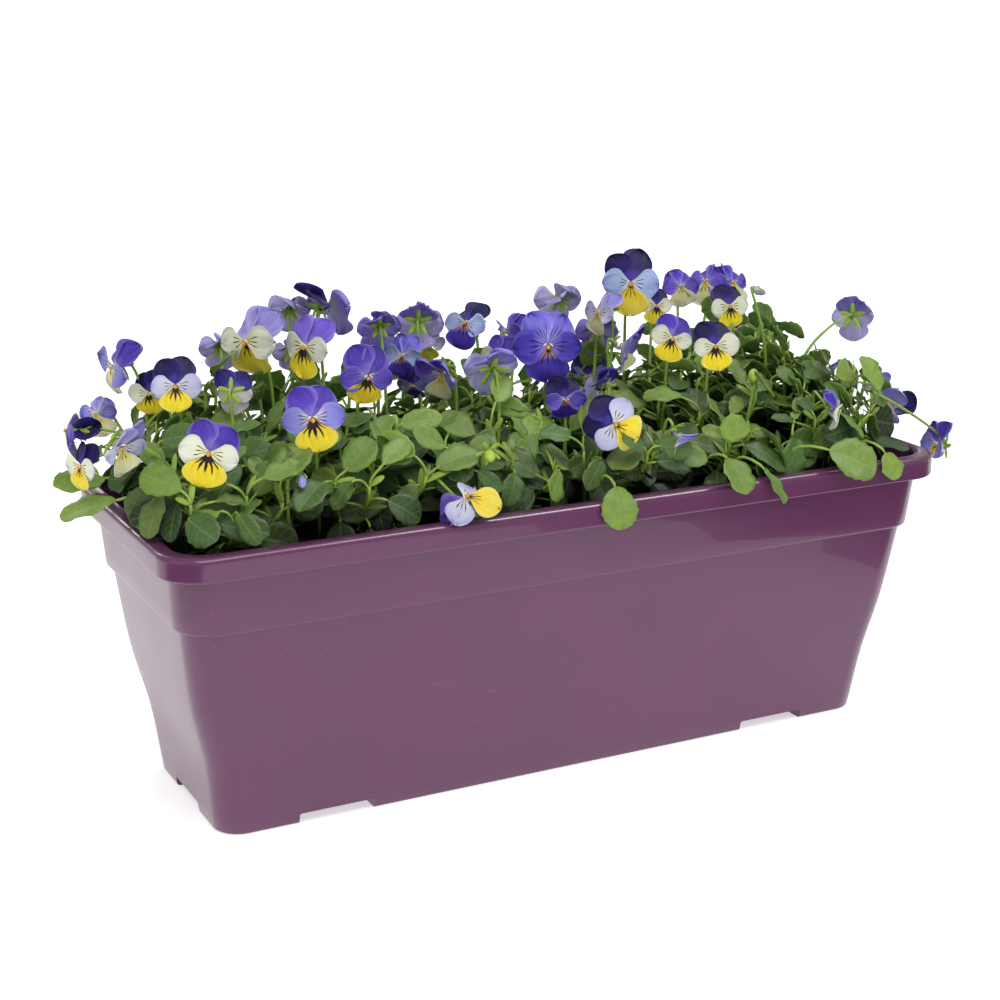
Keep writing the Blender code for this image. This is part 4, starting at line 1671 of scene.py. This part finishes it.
LOOKS = {
    "bloom_violet_01": Look(Upper.DARK, Side.VIOLET, Lip.YELLOW, 30, 0.2, 1.6),
    "bloom_bicolour_01": Look(Upper.DARK, Side.CREAM, Lip.YELLOW, 8),
    "bloom_lilac_01": Look(Upper.LILAC, Side.PALE, Lip.CREAM, -18, 0.3, 1.4),
    "bloom_bicolour_02": Look(Upper.VIOLET, Side.LILAC, Lip.CREAM, 14, 0.1,
                              1.5),
    "bloom_bicolour_03": Look(Upper.DARK, Side.PALE, Lip.BLOTCHED, 0),
    "bloom_bicolour_04": YELLOW_FACE,
    "bloom_violet_02": Look(Upper.DARK, Side.PALE, Lip.CREAM, -20, 0.3),
    "bloom_bicolour_05": Look(Upper.LILAC, Side.CREAM, Lip.YELLOW, 16, 0.2,
                              1.5),
    "bloom_lilac_02": Look(Upper.LILAC, Side.LILAC, Lip.CREAM, 26, 0.1, 1.7,
                           1.15),
    "bloom_lilac_03": LILAC_BACK,
    "bloom_violet_03": Look(Upper.DARK, Side.VIOLET, Lip.BLUE, 12, 0.2, 1.7,
                            1.18),
    "bloom_bicolour_06": Look(Upper.BRIGHT, Side.CREAM, Lip.BLOTCHED, 10),
    "bloom_bicolour_07": Look(Upper.VIOLET, Side.LILAC, Lip.BLOTCHED, 0),
    "bloom_violet_04": Look(Upper.VIOLET, Side.VIOLET, Lip.BLOTCHED, 8, 0.1,
                            1.3),
    "bloom_violet_05": VIOLET_SIDE,
    "bloom_lilac_04": Look(Upper.VIOLET, Side.LILAC, Lip.CREAM, 14, 0.2, 1.5),
    "bloom_blue_01": Look(Upper.BLUE, Side.LIGHT_BLUE, Lip.BLUE, 14, 0.2, 1.5),
    "bloom_lilac_05": NODDING,
    "bloom_violet_06": Look(Upper.DARK, Side.LIGHT_BLUE, Lip.BLUE, 10, 0.1,
                            1.3),
    "bloom_lilac_06": Look(Upper.BLUE, Side.LILAC, Lip.BLUE, 10, 0.1, 1.6),
    "bloom_bicolour_08": Look(Upper.BRIGHT, Side.PALE, Lip.YELLOW, 24, 0.1,
                              1.5),
    "bloom_blue_02": Look(Upper.BLUE, Side.BLUE, Lip.BLUE, 2, 0.0, 2.1, 1.20),
    "bloom_violet_07": Look(Upper.DARK, Side.VIOLET, Lip.BLUE, 14, 0.2, 1.7),
    "bloom_lilac_07": LILAC_BACK,
    "bloom_violet_08": Look(Upper.DARK, Side.LILAC, Lip.BLUE, 12, 0.2, 1.5),
    "bloom_bicolour_09": Look(Upper.DARK, Side.PALE, Lip.YELLOW, 4),
    "bloom_violet_09": Look(Upper.DARK, Side.LIGHT_BLUE, Lip.YELLOW, 2, 0.0,
                            1.3, 1.10),
    "bloom_lilac_08": Look(Upper.LILAC, Side.PALE, Lip.CREAM, 16, 0.2, 1.4),
    "bloom_bicolour_10": YELLOW_FACE,
    "bloom_bicolour_11": DARK_FACE,
    "bloom_violet_10": VIOLET_SIDE,
    "bloom_violet_11": VIOLET_SIDE,
    "bloom_bicolour_12": DARK_FACE,
    "bloom_bicolour_13": Look(Upper.VIOLET, Side.CREAM, Lip.CREAM, -30, 0.5),
    "bloom_lilac_09": Look(Upper.VIOLET, Side.LILAC, Lip.YELLOW, 14, 0.2, 1.4),
    "bloom_violet_12": Look(Upper.VIOLET, Side.CREAM, Lip.CREAM, 18, 0.2, 1.3),
    "bloom_violet_13": Look(Upper.DARK, Side.LILAC, Lip.YELLOW, 16, 0.2, 1.4),
    "bloom_lilac_10": Look(Upper.VIOLET, Side.LILAC, Lip.YELLOW, -14, 0.3,
                           1.4),
}


class Bloom:
    """A viola flower with petals, calyx, spur, throat and stalk."""

    UPPER, SIDE, LIP, BACK, BACK_SIDE, SEPAL, STEM, EYE, BEARD = range(9)
    ROOT_HEIGHT = 0.160

    def __init__(self, head: Head, look: Look, finishes: Finishes,
                 draw: random.Random) -> None:
        """Keep what the flower is made from.

        Args:
            head: its place and turn.
            look: its colours and how its petals are held.
            finishes: the shared materials.
            draw: the source of variation.
        """
        self.head = head
        self.look = look
        self.finishes = finishes
        self.draw = draw
        self.builder = SurfaceBuilder()

    def materials(self) -> list[bpy.types.Material]:
        """Materials in the order of the class's material numbers.

        Returns:
            One material for each number.
        """
        made = self.finishes
        look = self.look
        return [made.petals[look.upper], made.petals[look.side],
                made.petals[look.lip], made.backs[look.upper],
                made.backs[look.side], made.sepal, made.stem, made.eye,
                made.beard]

    def petal(self, plan: PetalPlan) -> None:
        """Add one petal.

        Args:
            plan: where it points and its sizes.
        """
        head = self.head
        draw = self.draw
        look = self.look
        radius = head.radius
        turn = Matrix.Rotation(math.radians(plan.angle + draw.uniform(-7, 7)),
                               3, head.facing)
        along = turn @ head.lip
        side = along.cross(head.facing)
        back_bend = look.fold * (1.7 if plan.part == 0 else 1.0)
        pitch = math.radians(plan.pitch - back_bend + draw.uniform(-9, 9))
        tilt = Matrix.Rotation(pitch, 3, side)
        along = tilt @ along
        normal = tilt @ head.facing
        rows, cols = 15, 13
        t = (1 - np.cos(np.linspace(0, math.pi, rows)))[:, None] / 2
        s = np.sin(np.linspace(-math.pi / 2, math.pi / 2, cols))[None, :]
        profile = np.sin(math.pi * np.clip(t, 0, 1) ** plan.fullness)
        profile = np.clip(profile, 0, 1) ** 0.52
        profile = profile * np.minimum(1.0, 0.30 + 1.8 * t) + 0.02
        fuller = look.size * (1 + abs(look.fold) / 100)
        size = draw.uniform(0.95, 1.07) * radius * fuller
        x = s * plan.width * draw.uniform(0.90, 1.08) * size / 2 * profile
        dent = plan.notch * np.exp(-(s / 0.25) ** 2) * t ** 5
        settle = 1 - t ** 8
        lobes = 0.015 * np.sin(s * 9 + draw.uniform(0, 6)) * t ** 3 * settle
        y = size * plan.length * (t - 0.05 * s ** 2 * t ** 2 * settle
                                  + lobes - dent)
        crumple = look.crumple * size / (18 * MM)
        phase = draw.uniform(0, 6.3)
        bend = plan.curl + draw.uniform(-0.10, 0.10)
        cup = look.cup + draw.uniform(-0.04, 0.14)
        z = (bend * y * np.abs(y) / size + 1.6 * cup * x * x / size
             + crumple * MM * 0.62 * np.sin(3.4 * math.pi * s + phase) * t ** 2
             + crumple * MM * 0.50 * np.sin(5.2 * t + phase) * np.abs(s)
             + crumple * MM * 0.45 * np.sin(4 * s + 6 * t - phase) * t
             - 0.8 * MM * np.exp(-(t / 0.12) ** 2) + plan.layer)
        grid = np.stack(np.broadcast_arrays(x, y, z), axis=2)
        uv = np.stack(np.broadcast_arrays((s + 1) / 2, t + 0 * s), axis=2)
        placed = set_in_place(grid, head.centre, along, normal)
        back = self.BACK if plan.part == 0 else self.BACK_SIDE
        self.builder.sheet(placed, uv, 0.28 * MM, plan.part, back,
                           (draw.uniform(0.86, 1.12), 0, 0))

    def throat(self) -> None:
        """Add the orange eye and the white beards beside it."""
        head = self.head
        scale = head.radius / (18 * MM)
        side = head.lip.cross(head.facing)
        eye = (head.centre + head.facing * 0.6 * MM
               + head.lip * 1.2 * MM * scale)
        self.builder.blob(eye, (head.facing * 0.5 + head.lip).normalized(),
                          2.6 * MM * scale, 1.15 * MM * scale, self.EYE,
                          (1, 0, 0))
        for way in (-1, 1):
            tuft = (head.centre + head.facing * 0.9 * MM
                    + side * way * 1.7 * MM * scale
                    - head.lip * 0.2 * MM * scale)
            self.builder.blob(tuft, (side * way + head.lip * 0.8).normalized(),
                              2.4 * MM * scale, 0.5 * MM * scale,
                              self.BEARD, (1, 0, 0), 6)

    def calyx(self, spread: float = 99.0) -> None:
        """Add five pointed sepals and the spur behind the petals.

        Args:
            spread: degrees that the sepals lean away from the facing.
        """
        head = self.head
        scale = max(0.7, head.radius / (18 * MM))
        root = head.centre - head.facing * 4.6 * MM
        self.builder.blob(root, head.facing, 4.8 * MM * scale,
                          1.9 * MM * scale, self.SEPAL, (0.9, 0.6, 0))
        lean = max(self.look.fold, self.look.fold * 0.4)
        for place_angle in (36, 108, 180, 252, 324):
            turn = Matrix.Rotation(math.radians(place_angle), 3, head.facing)
            out = turn @ head.lip
            follow = lean * (1.9 if 90 < place_angle < 270 else 1.1)
            a = math.radians(spread + follow + self.draw.uniform(-6, 10))
            way = (head.facing * math.cos(a) + out * math.sin(a)).normalized()
            face = (out * math.cos(a) - head.facing * math.sin(a))
            shape = BladeShape(10.5 * MM * scale, 3.6 * MM * scale, 0.85, 0.15,
                               0.10, 0.1 * MM, 0.0, 8, 3, 0.0)
            grid, uv = shape.grid()
            base = root - head.facing * 1.2 * MM + out * 0.6 * MM
            placed = set_in_place(grid, base, way, face)
            self.builder.sheet(placed, uv, 0.35 * MM, self.SEPAL, self.SEPAL,
                               (0.9, 0.5, 0))
        spur = bezier([head.centre - head.facing * behind * MM
                       + head.lip * below * MM
                       for behind, below in ((0.6, 1.5), (3, 2.0), (6, 1.6),
                                             (8, 0.4))], 5)
        radii = [r * MM for r in (1.4, 1.3, 1.2, 1.1, 0.9, 0.5)]
        self.builder.tube(spur, radii, 7, self.BACK, (1.0, 0, 0))

    def stalk(self) -> None:
        """Add the hooked stalk down into the leaves."""
        head = self.head
        back = head.centre - head.facing * 6.0 * MM
        rise = max(head.centre.z - head.foot.z, 0.012)
        leave = back - head.facing * 0.009 + UP * 0.006
        arrive = head.foot + UP * 0.55 * rise
        upper = bezier((back, leave, arrive, head.foot), 14)
        ground = Vector((head.foot.x * 0.98, head.foot.y * 0.85,
                         self.ROOT_HEIGHT))
        lower = bezier((head.foot, head.foot + (head.foot - arrive) * 0.3,
                        ground + UP * 0.015, ground), 4)[1:]
        path = np.concatenate([upper, lower])
        radii = np.interp(np.arange(len(path)), (0, 3, len(path) - 1),
                          (1.0 * MM, 0.80 * MM, 1.2 * MM))
        self.builder.tube(path, radii, 7, self.STEM, (0.9, 0.6, 0))

    def build(self, name: str, slot: str, *nodes: str) -> None:
        """Build the flower as one piece.

        Args:
            name: the piece's name.
            slot: the record's slot that its looks belong to.
            *nodes: CAD nodes that it stands for.
        """
        for plan in PLAN:
            self.petal(plan)
        self.throat()
        self.calyx()
        self.stalk()
        place(self.builder.build(name, self.materials()), slot, *nodes)


@dataclass(frozen=True)
class ExtraFlower:
    """A flower half hidden beside a packed one, with no node of its own."""

    name: str
    beside: str
    offset: tuple[float, float, float]
    facing: tuple[float, float]
    roll: float
    radius: float
    look: Look


EXTRAS = tuple(ExtraFlower(*row) for row in (
    ("extra_cream_left", "bloom_bicolour_02", (18, -10, -16),
     (-35, -10), 0, 13, DARK_FACE),
    ("extra_lilac_left", "bloom_bicolour_02", (-8, 10, -29),
     (-40, 5), 10, 12, LILAC_BACK),
    ("extra_cream_middle", "bloom_blue_02", (-16, 34, -11),
     (-60, 0), -10, 14, YELLOW_FACE),
    ("extra_violet_middle", "bloom_lilac_08", (12, 22, -16),
     (150, 0), 0, 14, VIOLET_SIDE),
    ("extra_half_open", "bloom_lilac_08", (5, -20, -19),
     (40, -25), 0, 14, NODDING),
    ("extra_violet_right", "bloom_violet_11", (-17, 8, 1),
     (-60, 20), 0, 15, VIOLET_SIDE),
    ("extra_cream_right", "bloom_bicolour_10", (33, 72, 6),
     (-20, 5), 0, 12, DARK_FACE),
    ("extra_small_cream", "bloom_lilac_09", (-27, -10, -33),
     (40, -30), 0, 8, NODDING),
    ("extra_far_right", "bloom_lilac_09", (4, -20, -45),
     (80, -10), 0, 12, NODDING),
    ("extra_pale_left", "bloom_bicolour_05", (43, 25, -27),
     (60, -20), 0, 12, NODDING),
    ("extra_lilac_pair", "bloom_lilac_03", (-3, -4, -27),
     (170, 0), 0, 11, LILAC_BACK),
    ("extra_lilac_low", "bloom_lilac_04", (-32, 12, -18),
     (-160, -5), 0, 11, LILAC_BACK),
    ("extra_cream_lip", "bloom_lilac_05", (21, 62, 5),
     (-10, -15), 0, 12, PALE_FACE),
    ("extra_blue_low", "bloom_violet_05", (16, -13, -36),
     (-45, -25), 0, 11, BLUE_SIDE),
    ("extra_lilac_centre", "bloom_violet_07", (14, 105, 22),
     (-80, 0), 0, 14, VIOLET_SIDE),
    ("extra_pale_centre", "bloom_violet_07", (62, 100, 15),
     (50, 0), 0, 12, PALE_FACE),
    ("extra_dark_centre", "bloom_violet_08", (35, 70, -11),
     (-40, -10), 0, 14, BLUE_SIDE),
    ("extra_cream_back", "bloom_bicolour_12", (27, 33, -24),
     (-10, 0), 0, 14, DARK_FACE),
))


@dataclass
class Flowers:
    """Every open flower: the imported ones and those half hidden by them."""

    finishes: Finishes

    def build(self) -> None:
        """Build the flowers in name order, then the hidden ones."""
        for number, name in enumerate(nodes_named("bloom_")):
            slot = "petals_" + name.split("_")[1]
            bloom = Bloom(Head.of_node(name), LOOKS[name], self.finishes,
                          random.Random(300 + number))
            bloom.build("viola_" + name, slot, name)
        for number, extra in enumerate(EXTRAS):
            self.extra(extra, random.Random(500 + number))

    def extra(self, extra: ExtraFlower, draw: random.Random) -> None:
        """Build one flower beside a packed one.

        Args:
            extra: where it stands and what it looks like.
            draw: the source of variation.
        """
        centre = (Head.of_node(extra.beside).centre
                  + Vector(extra.offset) * MM)
        facing = direction(*extra.facing)
        low = (DOWN - facing * DOWN.dot(facing)).normalized()
        lip = Matrix.Rotation(math.radians(extra.roll), 3, facing) @ low
        foot = Vector((centre.x * 0.93, centre.y * 0.85, 0.190))
        foot.z = min(foot.z, centre.z - 0.012)
        head = Head(centre, facing, lip, extra.radius * MM, foot)
        bloom = Bloom(head, extra.look, self.finishes, draw)
        bloom.build("viola_" + extra.name, "petals_violet")


@dataclass
class Buds:
    """Closed buds and seed capsules on their stalks."""

    finishes: Finishes

    def build(self) -> None:
        """Build each bud and capsule."""
        for number, name in enumerate(nodes_named("bud_", "capsule_")):
            co = node_points(name)
            foot = Vector(co[co[:, 2] < co[:, 2].min() + 0.0015].mean(axis=0))
            head, axis = self.head_of(co)
            self.one(name, number, head, axis, foot)

    @staticmethod
    def head_of(points: np.ndarray) -> tuple[Vector, Vector]:
        """Middle and axis of the egg-shaped head of a bud.

        Args:
            points: the CAD node's points, most of which are the head's.

        Returns:
            The head's middle and its long axis.
        """
        middle = np.median(points, axis=0)
        near = points[np.linalg.norm(points - middle, axis=1) < 0.008]
        middle = near.mean(axis=0)
        _, _, axes = np.linalg.svd(near - middle, full_matrices=False)
        return Vector(middle), Vector(axes[0])

    def one(self, name: str, number: int, centre: Vector, axis: Vector,
            foot: Vector) -> None:
        """Build one bud or capsule.

        Args:
            name: the CAD node.
            number: its place in the list, for its variation.
            centre: middle of the head.
            axis: long axis of the head.
            foot: where the stalk leaves the leaves.
        """
        capsule = name.startswith("capsule")
        away = (centre - foot).normalized()
        facing = axis if axis.dot(away) > 0 else -axis
        if not capsule and facing.z > 0:
            facing = -facing
        lip = facing.orthogonal().normalized()
        head = Head(centre, facing, lip, 10 * MM, foot)
        bloom = Bloom(head, CLOSED, self.finishes, random.Random(700 + number))
        builder = bloom.builder
        if capsule:
            builder.blob(centre - facing * 1.0 * MM, facing, 9 * MM, 3.2 * MM,
                         bloom.SEPAL, (0.95, 0.9, 0), 12)
            bloom.calyx(82.0)
        else:
            builder.blob(centre, facing, 13 * MM, 2.5 * MM, bloom.UPPER,
                         (1.0, 0, 0), 12)
            bloom.calyx(22.0)
        bloom.stalk()
        obj = builder.build("viola_" + name, bloom.materials())
        place(obj, "green_buds", name)


# --------------------------------------------------------------------------
# Studio
# --------------------------------------------------------------------------

@dataclass
class Studio:
    """Pale floor, soft lights and the camera."""

    target: Vector = field(
        default_factory=lambda: Vector((-0.0141, 0.0, 0.1543)))
    lit: Vector = field(default_factory=lambda: Vector((0.0, 0.0, 0.12)))
    azimuth: float = -27.04
    elevation: float = 15.67
    distance: float = 1.1303
    view_angle: float = 30.0
    floor_radius: float = 60.0
    floor_sides: int = 64

    def floor(self) -> None:
        """Pale seamless floor."""
        # Rolled paint: an even, matt white with no gleam.
        material, shader = new_material("pale_floor_paint_rolled")
        set_inputs(shader, Base_Color=linear("#F4F4F4"), Roughness=0.9,
                   Emission_Color=(1.0, 1.0, 1.0, 1.0),
                   Emission_Strength=0.55)
        turns = [2 * math.pi * i / self.floor_sides
                 for i in range(self.floor_sides)]
        ring = [(self.floor_radius * math.cos(a),
                 self.floor_radius * math.sin(a), 0.0) for a in turns]
        mesh_object("floor", ring, [list(range(len(ring)))],
                             material)

    def dark_cloth(self, name: str, colour: str,
                   outline: Sequence[tuple[float, float]]) -> None:
        """Lay a dark cloth that only shows as a reflection in the plastic.

        Args:
            name: the cloth's name.
            colour: its sRGB colour.
            outline: its corners on the floor.
        """
        # Brushed felt: dark and without any gleam.
        material, shader = new_material("brushed_felt_" + name)
        set_inputs(shader, Base_Color=linear(colour), Roughness=1.0)
        cloth = mesh_object(name, [(x, y, 1 * MM) for x, y in outline],
                            [list(range(len(outline)))], material)
        cloth.visible_camera = False
        cloth.visible_diffuse = False
        cloth.visible_shadow = False

    @staticmethod
    def aim(obj: bpy.types.Object, target: Vector, way: Vector,
            distance: float) -> None:
        """Put a light or camera off to one side and turn it to a target.

        Args:
            obj: the light or camera.
            target: the place that it looks at.
            way: unit vector from the target to it.
            distance: metres from the target.
        """
        obj.location = target + way * distance
        obj.rotation_mode = "QUATERNION"
        obj.rotation_quaternion = (-way).to_track_quat("-Z", "Y")
        bpy.context.scene.collection.objects.link(obj)

    def area_light(self, name: str, azimuth: float, elevation: float,
                   distance: float, size: float, watts: float,
                   gloss_only: bool = False) -> None:
        """Add a square soft light aimed at the box.

        Args:
            name: the light's name.
            azimuth: degrees round the box from its front.
            elevation: degrees above the floor.
            distance: metres from the box.
            size: side of the square in metres.
            watts: the light's power.
            gloss_only: whether it only shows as a highlight.
        """
        data = bpy.data.lights.new(name, "AREA")
        data.size = size
        data.energy = watts
        light = bpy.data.objects.new(name, data)
        light.visible_diffuse = not gloss_only
        self.aim(light, self.lit, direction(azimuth, elevation), distance)

    def build(self) -> None:
        """Make the floor, lights, world and camera."""
        self.floor()
        self.dark_cloth("cloth_right", "#4A4648", (
            (0.36, -0.16), (0.30, -0.22), (0.25, -0.30), (0.22, -0.42),
            (0.24, -1.30), (1.50, -1.30), (1.50, -0.05), (0.60, -0.08)))
        self.dark_cloth("cloth_left", "#161416", (
            (-0.40, -0.46), (-0.50, -0.34), (-0.56, -0.16), (-0.58, 0.10),
            (-1.60, 0.20), (-1.60, -1.30), (-0.36, -1.30)))
        self.area_light("key", -10, 62, 2.2, 1.4, 24)
        self.area_light("fill", -75, 35, 2.4, 1.4, 4)
        self.area_light("back", 153, 25, 2.4, 1.4, 9)
        self.area_light("lip_front", 66, 60, 2.2, 0.8, 26, True)
        self.area_light("lip_left", -163, 27, 2.2, 0.5, 5, True)
        world = bpy.data.worlds.new("studio_world")
        world.use_nodes = True
        sky = world.node_tree.nodes["Background"]
        sky.inputs["Color"].default_value = (1.0, 1.0, 1.0, 1.0)
        sky.inputs["Strength"].default_value = 0.50
        bpy.context.scene.world = world
        data = bpy.data.cameras.new("camera")
        data.sensor_width = 36.0
        data.lens = (data.sensor_width / 2
                     / math.tan(math.radians(self.view_angle / 2)))
        camera = bpy.data.objects.new("camera", data)
        self.aim(camera, self.target,
                 direction(self.azimuth, self.elevation), self.distance)
        bpy.context.scene.camera = camera
        bpy.context.scene.view_settings.view_transform = "Standard"


def main() -> None:
    """Build every sub-assembly in order."""
    logging.basicConfig(level=logging.INFO, format="%(message)s")
    kept = set(frame["nodes"].values()) | set(frame["bodies"].values())
    for obj in list(bpy.data.objects):
        if obj not in kept:
            bpy.data.objects.remove(obj, do_unlink=True)
    finishes = Finishes()
    Trough(finishes).build()
    SoilBed(finishes).build()
    Foliage(finishes).build()
    RimLeaves(finishes).build()
    Flowers(finishes).build()
    Buds(finishes).build()
    Studio().build()


if __name__ == "__main__":
    main()
